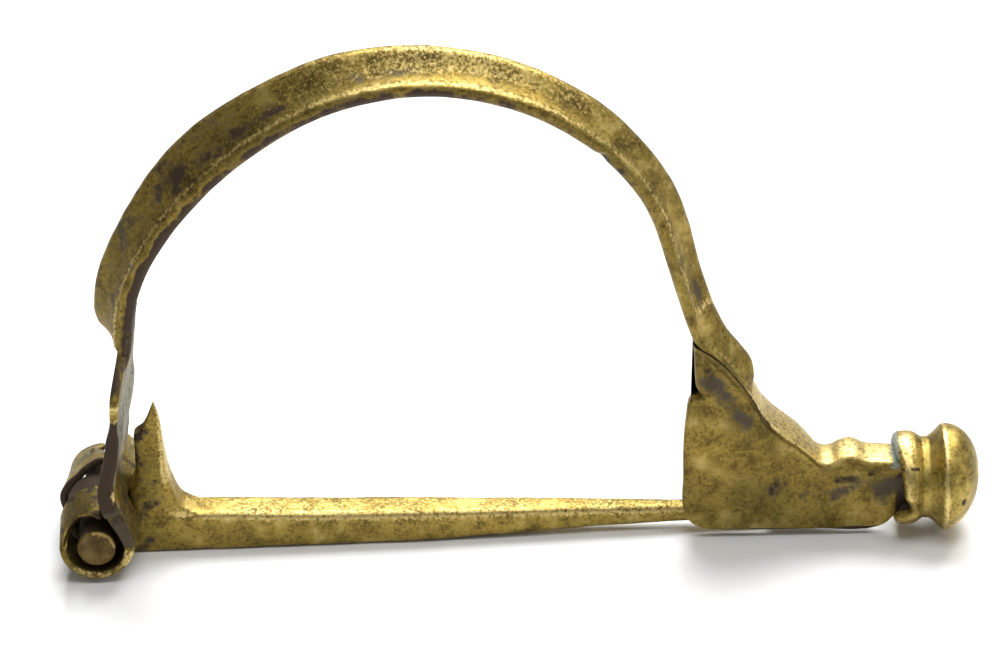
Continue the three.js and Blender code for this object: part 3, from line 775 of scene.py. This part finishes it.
@dataclass
class Foot:
    """The foot below the bow: a bar on top whose lower side is drawn down into the catchplate."""

    ridge: tuple[tuple[float, float], ...] = (
        (10.45, 13.6), (10.83, 13.38), (11.24, 13.1), (11.65, 12.79), (12.0, 12.48), (12.36, 12.13), (12.65, 11.76),
        (13.07, 11.16), (13.48, 10.61), (13.84, 10.05), (14.2, 9.36), (14.5, 8.74), (14.98, 8.11), (15.57, 7.52),
        (16.17, 7.03), (16.77, 6.53), (17.46, 5.78), (17.9, 5.3), (18.36, 5.1), (18.78, 5.16), (19.31, 5.45),
        (19.91, 5.58), (20.87, 5.2), (21.88, 5.12), (23.2, 5.0))
    left: tuple[tuple[float, float], ...] = (
        (10.45, 13.6), (10.48, 13.2), (10.53, 12.32), (10.56, 11.3), (10.62, 10.69), (10.84, 10.21), (10.92, 9.98),
        (10.5, 9.8), (10.28, 9.5), (10.05, 8.25), (9.92, 6.88), (9.87, 4.11), (9.92, 1.8), (10.13, 1.27),
        (10.55, 0.9))
    bottom: tuple[tuple[float, float], ...] = (
        (10.55, 0.9), (10.9, 0.7), (11.4, 0.57), (12.2, 0.5), (15.0, 0.46), (18.0, 0.45), (21.5, 0.47),
        (21.9, 0.62), (22.5, 1.2), (23.2, 2.2))
    ridge_half: Table = ((10.4, 1.6), (13.0, 1.65), (15.5, 1.62), (16.8, 1.5), (18.0, 1.22), (21.0, 1.18), (23.3, 1.1))
    plate_near: float = -0.95
    plate_far: float = -0.15
    stations: int = 300

    def grid(self, down: np.ndarray) -> tuple[np.ndarray, np.ndarray]:
        """A Coons patch between the ridge, the bottom, the left edge and the right end.

        A point is the blend of ridge and bottom by the share down, plus the blend of left and right
        by the share along, less the blend of the four corners.

        Args:
            down: shares from the ridge to the bottom.

        Returns:
            Points in X and Z, (stations, len(down), 2), and the shares along.
        """
        fine = np.concatenate([[0, 0, 0.003, 0.008, 0.016, 0.026], np.linspace(0.036, 1, self.stations - 6)])
        pick = fine * 599
        at = lambda line: np.stack([np.interp(pick, np.arange(600), line[:, k]) for k in (0, 1)], axis=1)
        top, low = at(smooth_path(self.ridge, 600)), at(smooth_path(self.bottom, 600))
        left_line = smooth_path(self.left, 600)
        pick = down * 599
        left = np.stack([np.interp(pick, np.arange(600), left_line[:, k]) for k in (0, 1)], axis=1)
        right = top[-1] + (low[-1] - top[-1]) * down[:, None]
        u, v = fine[:, None, None], down[None, :, None]
        ruled = top[:, None] * (1 - v) + low[:, None] * v
        sides = left[None] * (1 - u) + right[None] * u
        corners = ((top[0] * (1 - v) + low[0] * v) * (1 - u) + (top[-1] * (1 - v) + low[-1] * v) * u)
        return ruled + sides - corners, fine

    def build(self) -> Shell:
        """Rings over the top, down the near face, under the plate and up the far face.

        The near face stands out to the ridge's half width at the top and falls back to the plate
        over a hollow a little way below; the far face does the same on its side.

        Returns:
            The shell, painted.
        """
        down = np.concatenate([np.linspace(0, 0.3, 30), np.linspace(0.31, 0.97, 34), [0.98, 0.987, 0.993, 0.997, 1.0]])
        flat, along = self.grid(down)
        ridge_line = flat[:, 0]
        half = smooth_table(self.ridge_half, ridge_line[:, 0])
        below = np.linalg.norm(flat - ridge_line[:, None], axis=-1)
        to_low = np.linalg.norm(flat - flat[:, -1:], axis=-1)
        x, z = flat[..., 0], flat[..., 1]
        reach = smooth_table(((10.4, 1.5), (12, 1.35), (15, 1.1), (18.6, 1.0), (20, 1.2), (23, 1.2)), ridge_line[:, 0])
        drop = smoothstep(0.0, 1.0, below / reach[:, None])
        neck = smoothstep(11.9, 10.9, x) * smoothstep(9.75, 10.3, z + 0.25 * (x - 10.9))
        stand = np.maximum((half[:, None] + self.plate_near) * (1 - drop) ** 1.3, 0.5 * neck)
        edge = rounded(to_low, 0.16)
        notch = 0.5 * bump(x, 10.85, 0.26) * bump(z, 9.93, 0.17)
        near = self.plate_near - stand + (1 - edge) * 0.3 + notch
        far_drop = smoothstep(0.5, 1.5, below / reach[:, None])
        far_stand = np.maximum((half[:, None] - self.plate_far) * (1 - far_drop), 0.4 * neck)
        far = self.plate_far + far_stand - (1 - edge) * 0.3
        points = np.stack([x, near, z], axis=-1)
        lump = ValueNoise(21, 1.6)(points) * 0.05 + ValueNoise(22, 0.5)(points) * 0.02
        near = near + lump * smoothstep(0.0, 0.4, below)
        across = np.linspace(1, -1, 15)[1:-1]
        crown = 0.2 * (1 - across ** 2) * smooth_table(((0, 0.2), (0.3, 1.0), (0.6, 0.9), (1, 0.6)), along)[:, None]
        tilt = np.gradient(ridge_line, axis=0)
        tilt /= np.maximum(np.linalg.norm(tilt, axis=1, keepdims=True), 1e-9)
        top_x = ridge_line[:, :1] - tilt[:, 1:] * crown
        top_z = ridge_line[:, 1:] + tilt[:, :1] * crown
        top = np.stack([top_x, half[:, None] * across[None], top_z], axis=-1)
        near_grid = np.stack([x, near, z], axis=-1)
        far_grid = np.stack([x, far, z], axis=-1)[:, ::-2]
        rings = np.concatenate([top, near_grid, far_grid], axis=1)
        middle = (near.mean() + far.mean()) / 2
        squeeze = np.ones(len(along))
        squeeze[:6] = [0.0, 0.72, 0.86, 0.95, 0.99, 1.0]
        centre = np.full(rings.shape[:2], middle)
        rings[..., 1] = centre + (rings[..., 1] - centre) * squeeze[:, None]
        shell = loft(rings)
        self.dress(shell)
        return shell

    def dress(self, shell: Shell) -> None:
        """Paints the diagonal grey stain and the violet patch by the knob, painted shade along the crack
        under the bow, by the knob and under the catchplate, and painted highlights on the ridge and top face.
        """
        x, y, z = shell.points.T
        near = smoothstep(0.2, -0.4, y)
        diagonal = np.clip(((x - 11.3) * 0.62 - (z - 11.0) * 0.78) / 3.7, 0, 1)
        off = np.hypot(x - (11.3 + 2.3 * diagonal), z - (11.0 - 2.9 * diagonal))
        violet = 0.72 * near * np.exp(-((off / 0.75) ** 2))
        violet = np.maximum(violet, 0.85 * near * bump(x, 21.9, 1.5) * bump(z, 3.3, 0.95))
        violet = np.maximum(violet, 0.5 * near * bump(x, 18.6, 1.8) * bump(z, 2.9, 0.6))
        seam_z = np.interp(x, *np.array(self.ridge).T)
        # Painted shade along the crack where the bow's wedge sits on the foot.
        seam = bump(z - seam_z, 0.0, 0.1) * (x < 15.6) * near
        # Painted shade in the gap between the foot's end and the knob's collar.
        patina = np.maximum(seam, 0.95 * near * bump(x, 22.9, 0.45) * smoothstep(4.5, 3.9, z))
        patina = np.maximum(patina, near * bump(x, 21.15, 0.35) * bump(z, 4.25, 0.2))
        patina = np.maximum(patina, 0.8 * near * bump(x, 10.9, 0.22) * bump(z, 9.95, 0.13))
        patina = np.maximum(patina, 0.85 * near * bump(x, 11.25, 0.3) * bump(z, 11.75, 0.25))
        patina = np.maximum(patina, 0.45 * near * bump(x, 16.5, 3.2) * bump(z, 3.6, 1.5))
        patina = np.maximum(patina, 0.55 * near * bump(x, 19.3, 1.2) * bump(z, 3.9, 0.4))
        patina = np.maximum(patina, 0.5 * near * bump(x, 11.3, 0.6) * bump(z, 3.05, 0.25))
        # Painted shade: the catchplate's lower edge is darkened where it nears the floor.
        patina = np.maximum(patina, 0.8 * smoothstep(0.66, 0.5, z) * (x < 22.4))
        # Painted highlight along the ridge and over the top face, which face the lamp above.
        wear = 0.7 * bump(z - seam_z, 0.02, 0.12) * (x > 15) * (x < 22.4)
        wear = np.maximum(wear, 0.62 * (z > seam_z + 0.03) * (x > 13.5) * (x < 22.2))
        wear = np.maximum(wear, 0.45 * near * bump(x, 12.6, 1.6) * bump(z - seam_z, -0.45, 0.3))
        corrosion = 0.8 * smoothstep(21.9, 22.6, x) * smoothstep(4.4, 4.8, z)
        for kind, values in ((Painted.PATINA_AND_SHADE, patina), (Painted.VIOLET, violet),
                             (Painted.CORROSION_AND_REFLECTION, corrosion), (Painted.WEAR_AND_HIGHLIGHT, wear)):
            shell.paint[kind.value] = values

    def lip(self) -> Shell:
        """What is left of the catch: a low bead along the plate's lower edge on its far side.

        Returns:
            An elliptical bead whose size fades at both broken ends.
        """
        x = np.linspace(15.0, 21.2, 80)
        fade = np.minimum(rounded(x - 15.0, 0.3), rounded(21.2 - x, 0.3)) * (1 + 0.12 * ValueNoise(30, 0.9)(
            np.stack([x, 0 * x, 0 * x], axis=-1)))
        around = np.linspace(0, 2 * math.pi, 24, endpoint=False)
        y = 0.0 + 0.25 * np.cos(around)[None] * fade[:, None]
        z = 0.80 + 0.27 * np.sin(around)[None] * fade[:, None]
        return loft(np.stack([np.repeat(x[:, None], 24, axis=1), y, z], axis=-1))


@dataclass
class Bow:
    """The whole casting: arch, head plate with its sleeves, foot and catchplate."""

    arch: BowArch = field(default_factory=BowArch)
    head: HeadPlate = field(default_factory=HeadPlate)
    foot: Foot = field(default_factory=Foot)

    def build(self) -> bpy.types.Object:
        """Joins the shells of the casting into one piece and dresses it."""
        shell = joined([self.arch.build(), self.head.build(), self.foot.build(), self.foot.lip()])
        piece = to_object("bow_casting", shell)
        piece.data.materials.append(FinishMaker(BOW_BRASS).build())
        return piece


# ---- Rod, pin and knob ---------------------------------------------------------------------------


def turned(profile: np.ndarray, around: int) -> np.ndarray:
    """Rings about the X axis from a profile of X and radius: Y = r cos a, Z = r sin a."""
    angle = np.linspace(0, 2 * math.pi, around, endpoint=False)
    x = np.repeat(profile[:, :1], around, axis=1)
    return np.stack([x, profile[:, 1:] * np.cos(angle), profile[:, 1:] * np.sin(angle)], axis=-1)


@dataclass
class HingeRod:
    """The rod through the sleeves, with rough, slightly domed ends."""

    x: float = -25.15
    z: float = 2.3
    radius: float = 1.15
    half_length: float = 4.42

    def build(self) -> bpy.types.Object:
        """A turned rod whose ends are rounded and pitted."""
        share = np.linspace(0, 1, 14)
        face = np.stack([-self.half_length - 0.05 * (1 - share ** 2), self.radius * 0.86 * share], axis=1)[1:]
        turn = np.linspace(0, math.pi / 2, 6)[1:]
        corner = np.stack([-self.half_length + 0.16 * (1 - np.cos(turn)),
                           self.radius * (0.86 + 0.14 * np.sin(turn))], axis=1)
        near = np.concatenate([face, corner])
        body = np.stack([np.linspace(-4.2, 4.2, 60), np.full(60, self.radius)], axis=1)
        profile = np.concatenate([near, body, near[::-1] * np.array([-1, 1])])
        rings = turned(profile, 72)
        points = np.stack([self.x + rings[..., 1], rings[..., 0], self.z + rings[..., 2]], axis=-1)
        radial = points - np.array([self.x, 0, self.z]) * np.array([1, 0, 1])
        radial[..., 1] = 0
        size = 1 + 0.03 * ValueNoise(41, 1.2)(points) + 0.015 * ValueNoise(42, 0.35)(points)
        points[..., 0] = self.x + radial[..., 0] * np.minimum(size, 1.03)
        points[..., 2] = self.z + radial[..., 2] * np.minimum(size, 1.03)
        points[..., 1] += 0.035 * ValueNoise(43, 0.45)(points) * smoothstep(4.2, 4.4, np.abs(points[..., 1]))
        shell = loft(points)
        x, y, z = shell.points.T
        r = np.hypot(x - self.x, z - self.z)
        # The upper right rim of the near end is painted bright; the rod is darkened with painted shade from just inside
        # the sleeve's end.
        shell.paint[Painted.WEAR_AND_HIGHLIGHT.value] = 0.8 * smoothstep(0.9, 1.05, r) * (z > self.z) * (x > self.x - 0.2) * (y < -4.2)
        shell.paint[Painted.PATINA_AND_SHADE.value] = 0.75 * smoothstep(-4.3, -4.0, y) * np.ones_like(y)
        piece = to_object("hinge_rod", shell)
        piece.data.materials.append(FinishMaker(ROD_BRASS).build())
        return piece


@dataclass
class Pin:
    """The hinged pin: eye, root with its pointed spur, and the bar that tapers to a point."""

    hinge_x: float = -25.15
    hinge_z: float = 2.3
    eye_radius: float = 2.02
    half_width: float = 1.13
    lean: float = math.tan(math.radians(1.3))
    root_x: float = -19.4
    low: Table = ((-22, 0.0), (-6, 0.02), (-1, 0.2), (5, 0.38), (10.5, 0.5), (15, 0.65), (19, 0.88), (19.6, 0.98))
    high: Table = ((-22, 2.60), (-19, 2.60), (-13, 2.36), (-6, 2.15), (-1, 2.0), (5, 1.82), (10.5, 1.6), (15, 1.4),
                   (19, 1.16), (19.6, 1.02))
    half: Table = ((-23.5, 1.12), (-13, 1.13), (-6, 1.06), (-1, 0.92), (5, 0.7), (10.5, 0.52), (15, 0.36), (19, 0.16),
                   (19.6, 0.03))
    spur_left: Table = ((1.0, -23.6), (3.0, -23.5), (4.15, -23.35), (4.9, -22.98), (5.8, -22.86), (8.0, -22.82),
                        (8.5, -22.35), (9.1, -22.05), (9.75, -21.78), (10.3, -21.56))
    spur_right: Table = ((1.0, -19.3), (2.45, -19.0), (2.78, -19.6), (3.2, -20.2), (4.0, -20.62), (5.0, -20.85),
                         (6.2, -20.99), (7.8, -21.1), (9.0, -21.2), (9.75, -21.36), (10.3, -21.5))

    def bar(self) -> Shell:
        """The bar: rounded rectangles along X, each point on |y/h|^5 + |z/v|^5 = 1."""
        x = np.concatenate([np.linspace(-23.5, -19, 40), np.linspace(-18.9, 19.0, 330), np.linspace(19.1, 19.6, 10)])
        angle = np.linspace(0, 2 * math.pi, 56, endpoint=False)
        power = smooth_table(((-22, 0.26), (-15, 0.34), (0, 0.42), (12, 0.7), (19.6, 1.0)), x)[:, None]
        c, s = np.cos(angle)[None], np.sin(angle)[None]
        half = smooth_table(self.half, x)[:, None]
        low, high = smooth_table(self.low, x)[:, None], smooth_table(self.high, x)[:, None]
        y = (x[:, None] - self.root_x) * self.lean + half * np.sign(c) * np.abs(c) ** power
        z = (low + high) / 2 + (high - low) / 2 * np.sign(s) * np.abs(s) ** power
        points = np.stack([np.repeat(x[:, None], 56, axis=1), y, z], axis=-1)
        amount = smooth_table(((-22, 0.2), (-18, 1), (10, 0.8), (19, 0.2)), x)[:, None]
        dents = 0.035 * ValueNoise(51, 1.7)(points) + 0.02 * ValueNoise(52, 0.6)(points)
        points[..., 1] += c * dents * amount
        points[..., 2] = np.maximum(points[..., 2] + s * dents * amount, 0.0)
        return loft(points)

    def spur(self) -> Shell:
        """The spur: rounded rectangles up Z, whose far side closes in on the near one at the tip."""
        z = np.concatenate([np.linspace(0.9, 2.4, 30), np.linspace(2.43, 4.2, 50), np.linspace(4.25, 10.3, 150)])
        left, right = smooth_table(self.spur_left, z), smooth_table(self.spur_right, z)
        depth = 2 * self.half_width * smooth_table(((0, 0.99), (3.6, 0.99), (6.0, 0.8), (8.5, 0.45), (10.3, 0.12)), z)
        corner = np.minimum(np.minimum(0.28, (right - left) * 0.45), depth * 0.45)
        angle = np.linspace(0, 2 * math.pi, 64, endpoint=False)
        c, s = np.cos(angle)[None], np.sin(angle)[None]
        x = ((left + right) / 2)[:, None] + ((right - left) / 2)[:, None] * np.sign(c) * np.abs(c) ** 0.3
        y = (depth / 2 - self.half_width)[:, None] + (depth / 2)[:, None] * np.sign(s) * np.abs(s) ** 0.3
        shrink = (corner * 0.12)[:, None]
        points = np.stack([x - c * shrink, y - s * shrink, np.repeat(z[:, None], 64, axis=1)], axis=-1)
        dents = 0.05 * ValueNoise(53, 1.3)(points) + 0.02 * ValueNoise(54, 0.5)(points)
        points[..., 1] += s * dents
        points[..., 0] += c * dents
        return loft(points)

    def eye(self) -> Shell:
        """The eye: a ring about the hinge, as a rounded rectangle of radius and Y turned round it."""
        side = np.linspace(-0.93, 0.93, 12) * self.half_width
        inner, outer = 1.36, self.eye_radius
        radius = np.concatenate([np.full(12, outer), [outer - 0.06, outer - 0.2], [inner + 0.1, inner],
                                 np.full(12, inner), [inner + 0.1], [outer - 0.2, outer - 0.06]])
        w = self.half_width
        across = np.concatenate([side, [w * 0.98, w], [w, w * 0.96], side[::-1], [-w], [-w, -w * 0.98]])
        turn = np.linspace(0, 2 * math.pi, 96, endpoint=False)
        x = self.hinge_x + radius[None] * np.cos(turn)[:, None]
        z = self.hinge_z + radius[None] * np.sin(turn)[:, None]
        rings = np.stack([x, np.repeat(across[None], 96, axis=0), z], axis=-1)
        index = np.arange(rings.shape[0] * rings.shape[1]).reshape(rings.shape[:2])
        ahead, turned_index = np.roll(index, -1, axis=0), np.roll(index, -1, axis=1)
        both = np.roll(ahead, -1, axis=1)
        quads = np.stack([index, turned_index, both, ahead], axis=-1).reshape(-1, 4)
        return Shell(rings.reshape(-1, 3), [quads]).outward()

    def build(self) -> bpy.types.Object:
        """Joins eye, spur and bar, adds a painted highlight along the bar's upper near edge, paints the
        dark cracks and the speckled root, and darkens the eye in the hinge slot with painted shade.
        """
        shell = joined([self.eye(), self.spur(), self.bar()])
        x, y, z = shell.points.T
        top = smooth_table(self.high, x)
        # Painted highlight along the bar's upper near edge; the root's top and the spur's +X side are painted bright as
        # well.
        wear = 0.72 * (x > -19.8) * bump(z - top, -0.25, 0.28) * smooth_table(((-20, 0.4), (-17, 1), (12, 0.9)), x)
        wear = np.maximum(wear, 0.75 * bump(x, -20.2, 0.7) * bump(z, 2.6, 0.4))
        wear = np.maximum(wear, 0.6 * smoothstep(4.2, 5.0, z) * smoothstep(-21.35, -21.1, x + 0.02 * z))
        patina = 0.34 * smoothstep(-18.5, -22.5, x) * np.ones_like(x)
        patina = np.maximum(patina, bump(x, -10.6, 0.42) * bump(z, top - 0.18, 0.09))
        patina = np.maximum(patina, 0.6 * bump(x, -22.4, 0.35) * bump(z, 3.1, 0.7))
        # Painted shade: the eye, inside the hinge slot, is darkened.
        patina = np.maximum(patina, 0.9 * smoothstep(-23.2, -23.8, x))
        shell.paint[Painted.WEAR_AND_HIGHLIGHT.value] = wear
        shell.paint[Painted.PATINA_AND_SHADE.value] = patina
        shell.paint[Painted.VIOLET.value] = 0.3 * smoothstep(-21.6, -22.6, x) * smoothstep(3.5, 2.5, z)
        piece = to_object("pin_and_spur", shell)
        piece.data.materials.append(FinishMaker(PIN_BRASS).build())
        return piece


@dataclass
class FootKnob:
    """The knob on the foot's tip: a broken collar, a hollow neck and a domed end."""

    x: float = 22.5
    z: float = 3.4
    socket_depth: float = 0.95
    outer: Table = ((22.5, 2.5), (22.58, 2.66), (22.8, 2.78), (23.3, 2.82), (23.7, 2.74), (24.0, 2.56),
                    (24.2, 2.44), (24.5, 2.46), (24.85, 2.66), (25.1, 2.9), (25.3, 3.12), (25.42, 3.2))
    rim_x: float = 25.44
    rim_radius: float = 3.21
    tip_x: float = 27.6

    def profile(self) -> np.ndarray:
        """X and radius from the socket's floor, round the collar, over the neck, to the dome's tip."""
        floor = np.stack([np.full(8, self.x + self.socket_depth), np.linspace(0.1, 2.05, 8)], axis=1)
        wall = np.stack([np.linspace(self.x + 0.85, self.x + 0.12, 10), np.full(10, 2.12)], axis=1)
        lip = np.array([[self.x + 0.05, 2.16], [self.x + 0.0, 2.26], [self.x - 0.02, 2.38]])
        at = np.linspace(22.5, 25.42, 72)
        outside = np.stack([at, smooth_table(self.outer, at)], axis=1)
        angle = np.linspace(0.04, math.pi / 2 - 0.02, 44)
        dome = np.stack([self.rim_x + (self.tip_x - self.rim_x) * np.sin(angle) ** 1.05,
                         self.rim_radius * np.cos(angle) ** 0.92], axis=1)
        return np.concatenate([floor, wall, lip, outside, dome])

    def build(self) -> bpy.types.Object:
        """Turns the profile, breaks the collar's near lower edge away and adds dents and paint, with painted
        highlights on the rim and collar, a painted floor reflection on the dome and painted shade under the neck.
        """
        profile = self.profile()
        rings = turned(profile, 176)
        x, y, z = rings[..., 0], rings[..., 1], rings[..., 2]
        angle = np.degrees(np.arctan2(z, -y))
        gap = smooth_table(((-180, 0.0), (-45, 0.0), (-38, 0.1), (-32, 0.57), (-24, 0.93), (-11, 0.8), (0, 0.53),
                            (16, 0.48), (31, 0.39), (46, 0.3), (66, 0.07), (80, 0.0), (180, 0.0)), angle)
        gap = gap * smoothstep(24.0, 22.8, x) * (np.hypot(y, z) > 2.0)
        points = np.stack([x + gap, y, self.z + z], axis=-1)
        size = 1 + 0.012 * ValueNoise(61, 2.0)(points) + 0.006 * ValueNoise(62, 0.6)(points)
        dent = 0.10 * bump(x, 26.3, 0.16) * bump(angle, 25, 3.2) + 0.07 * bump(x, 26.5, 0.16) * bump(angle, -5, 5)
        size = size - dent * 0.5
        points[..., 1] = y * size
        points[..., 2] = np.maximum(self.z + z * size + 0.16 * np.maximum(x - self.rim_x, 0), 0.03)
        shell = loft(points)
        px, py, pz = shell.points.T
        theta = np.degrees(np.arctan2(pz - self.z, -py))
        radius = np.hypot(py, pz - self.z)
        # Painted highlights on the rim line and the collar's upper half, and a painted reflection of the floor on the
        # dome's lower near side.
        wear = 0.85 * bump(px, 25.5, 0.16) * smoothstep(2.9, 3.1, radius)
        wear = np.maximum(wear, 0.7 * bump(px, 23.15, 0.5) * smoothstep(2.6, 2.8, radius) * (theta > 0))
        wear = np.maximum(wear, 0.6 * smoothstep(-25, -40, theta) * (px > 25.4))
        patina = 0.95 * smoothstep(2.25, 2.15, radius) * (px < 24)
        patina = np.maximum(patina, 0.9 * bump(px, 26.5, 0.16) * bump(theta, -5, 5))
        patina = np.maximum(patina, bump(theta, 40, 1.6) * (px < 23.9) * (radius > 2.2))
        # Painted shade on the neck's lower near side.
        patina = np.maximum(patina, 0.5 * bump(px, 24.2, 0.3) * smoothstep(-20, -60, theta))
        corrosion = 0.8 * smoothstep(22.9, 22.6, px) * (theta > -5) * (radius > 2.1)
        shell.paint[Painted.WEAR_AND_HIGHLIGHT.value] = wear
        shell.paint[Painted.PATINA_AND_SHADE.value] = patina
        shell.paint[Painted.CORROSION_AND_REFLECTION.value] = corrosion
        piece = to_object("knob", shell)
        piece.data.materials.append(FinishMaker(KNOB_BRASS).build())
        return piece


# ---- Floor, light and camera ---------------------------------------------------------------------


@dataclass(frozen=True)
class Lamp:
    """A soft rectangular lamp: where it stands, where it points and how strong it is."""

    name: str
    place: tuple[float, float, float]
    target: tuple[float, float, float]
    size: tuple[float, float]
    watts: float
    colour: str = "#ffffff"


@dataclass
class Studio:
    """A white table with large soft lamps, and the camera."""

    elevation: float = 29.0
    distance: float = 295.0
    target: tuple[float, float, float] = (-0.9, 0.0, 14.05)
    roll: float = -1.3
    lens: float = 180.0
    world: str = "#ffffff"
    world_strength: float = 0.24
    lamps: tuple[Lamp, ...] = (
        Lamp("behind", (0.06, 0.24, 0.36), (0.0, 0.0, 0.0), (0.36, 0.3), 3.0),
        Lamp("overhead", (0.05, -0.1, 0.38), (0.0, 0.0, 0.0), (0.26, 0.16), 0.55),
        Lamp("right", (0.38, -0.03, 0.16), (0.0, 0.0, 0.01), (0.25, 0.25), 0.3),
    )

    def floor(self) -> bpy.types.Object:
        """A large white, slightly glossy board."""
        mesh = bpy.data.meshes.new("floor")
        reach = 1.5
        mesh.from_pydata([(-reach, -reach, 0), (reach, -reach, 0), (reach, reach, 0), (-reach, reach, 0)], [],
                         [(0, 1, 2, 3)])
        board = bpy.data.objects.new("floor", mesh)
        bpy.context.collection.objects.link(board)
        material = bpy.data.materials.new("white gloss board")
        material.use_nodes = True
        shader = material.node_tree.nodes["Principled BSDF"]
        shader.inputs["Base Color"].default_value = linear("#f6f6f6")
        shader.inputs["Roughness"].default_value = 0.16
        mesh.materials.append(material)
        return board

    def light(self) -> None:
        """Adds the soft lamps and an even grey surround."""
        for lamp in self.lamps:
            data = bpy.data.lights.new(lamp.name, "AREA")
            data.shape = "RECTANGLE"
            data.size, data.size_y = lamp.size
            data.energy = lamp.watts
            data.color = linear(lamp.colour)[:3]
            made = bpy.data.objects.new(lamp.name, data)
            made.location = lamp.place
            away = np.array(lamp.place) - np.array(lamp.target)
            away /= np.linalg.norm(away)
            side = np.cross((0, 0, 1), away)
            side /= np.linalg.norm(side)
            made.matrix_world = Matrix([(*row, 0) for row in np.stack([side, np.cross(away, side), away], axis=1)]
                                       + [(0, 0, 0, 1)])
            made.location = lamp.place
            bpy.context.collection.objects.link(made)
        world = bpy.data.worlds.new("surround")
        world.use_nodes = True
        background = world.node_tree.nodes["Background"]
        background.inputs["Color"].default_value = linear(self.world)
        background.inputs["Strength"].default_value = self.world_strength
        bpy.context.scene.world = world

    def camera(self) -> None:
        """A long lens looking along +Y and down, rolled a little."""
        tilt, roll = math.radians(self.elevation), math.radians(self.roll)
        forward = np.array([0, math.cos(tilt), -math.sin(tilt)])
        right, up = np.array([1.0, 0, 0]), np.array([0, math.sin(tilt), math.cos(tilt)])
        right, up = math.cos(roll) * right + math.sin(roll) * up, math.cos(roll) * up - math.sin(roll) * right
        place = (np.array(self.target) - forward * self.distance) * MM
        data = bpy.data.cameras.new("camera")
        data.lens = self.lens
        data.clip_start = 0.01
        made = bpy.data.objects.new("camera", data)
        rows = np.stack([right, up, -forward, place], axis=1)
        made.matrix_world = Matrix([*map(tuple, rows), (0, 0, 0, 1)])
        bpy.context.collection.objects.link(made)
        bpy.context.scene.camera = made

    def build(self) -> None:
        """Sets up floor, lamps, camera and a plain display transform."""
        self.floor()
        self.light()
        self.camera()
        bpy.context.scene.view_settings.view_transform = "Standard"


def place(piece: bpy.types.Object, body: str, cad_node: str, slot: str) -> None:
    """Ties a piece to its body, hides the CAD node that it stands for and logs its point and face counts.

    Args:
        piece: the finished piece.
        body: the moving body that it rides on.
        cad_node: the CAD node that it replaces.
        slot: the record's material slot; not used.
    """
    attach(piece, body)
    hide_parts(cad_node)
    LOG.info("%s: %d points, %d faces", piece.name, len(piece.data.vertices), len(piece.data.polygons))


def main() -> None:
    logging.basicConfig(level=logging.INFO, format="%(name)s: %(message)s")
    Studio().build()
    place(Bow().build(), "frame", "bow", "worn_brass")
    place(HingeRod().build(), "frame", "hinge_axis", "hinge_brass")
    place(Pin().build(), "pin", "pin", "pin_brass")
    place(FootKnob().build(), "frame", "foot_knob", "knob_brass")
    bpy.context.view_layer.update()


if __name__ == "__main__":
    main()
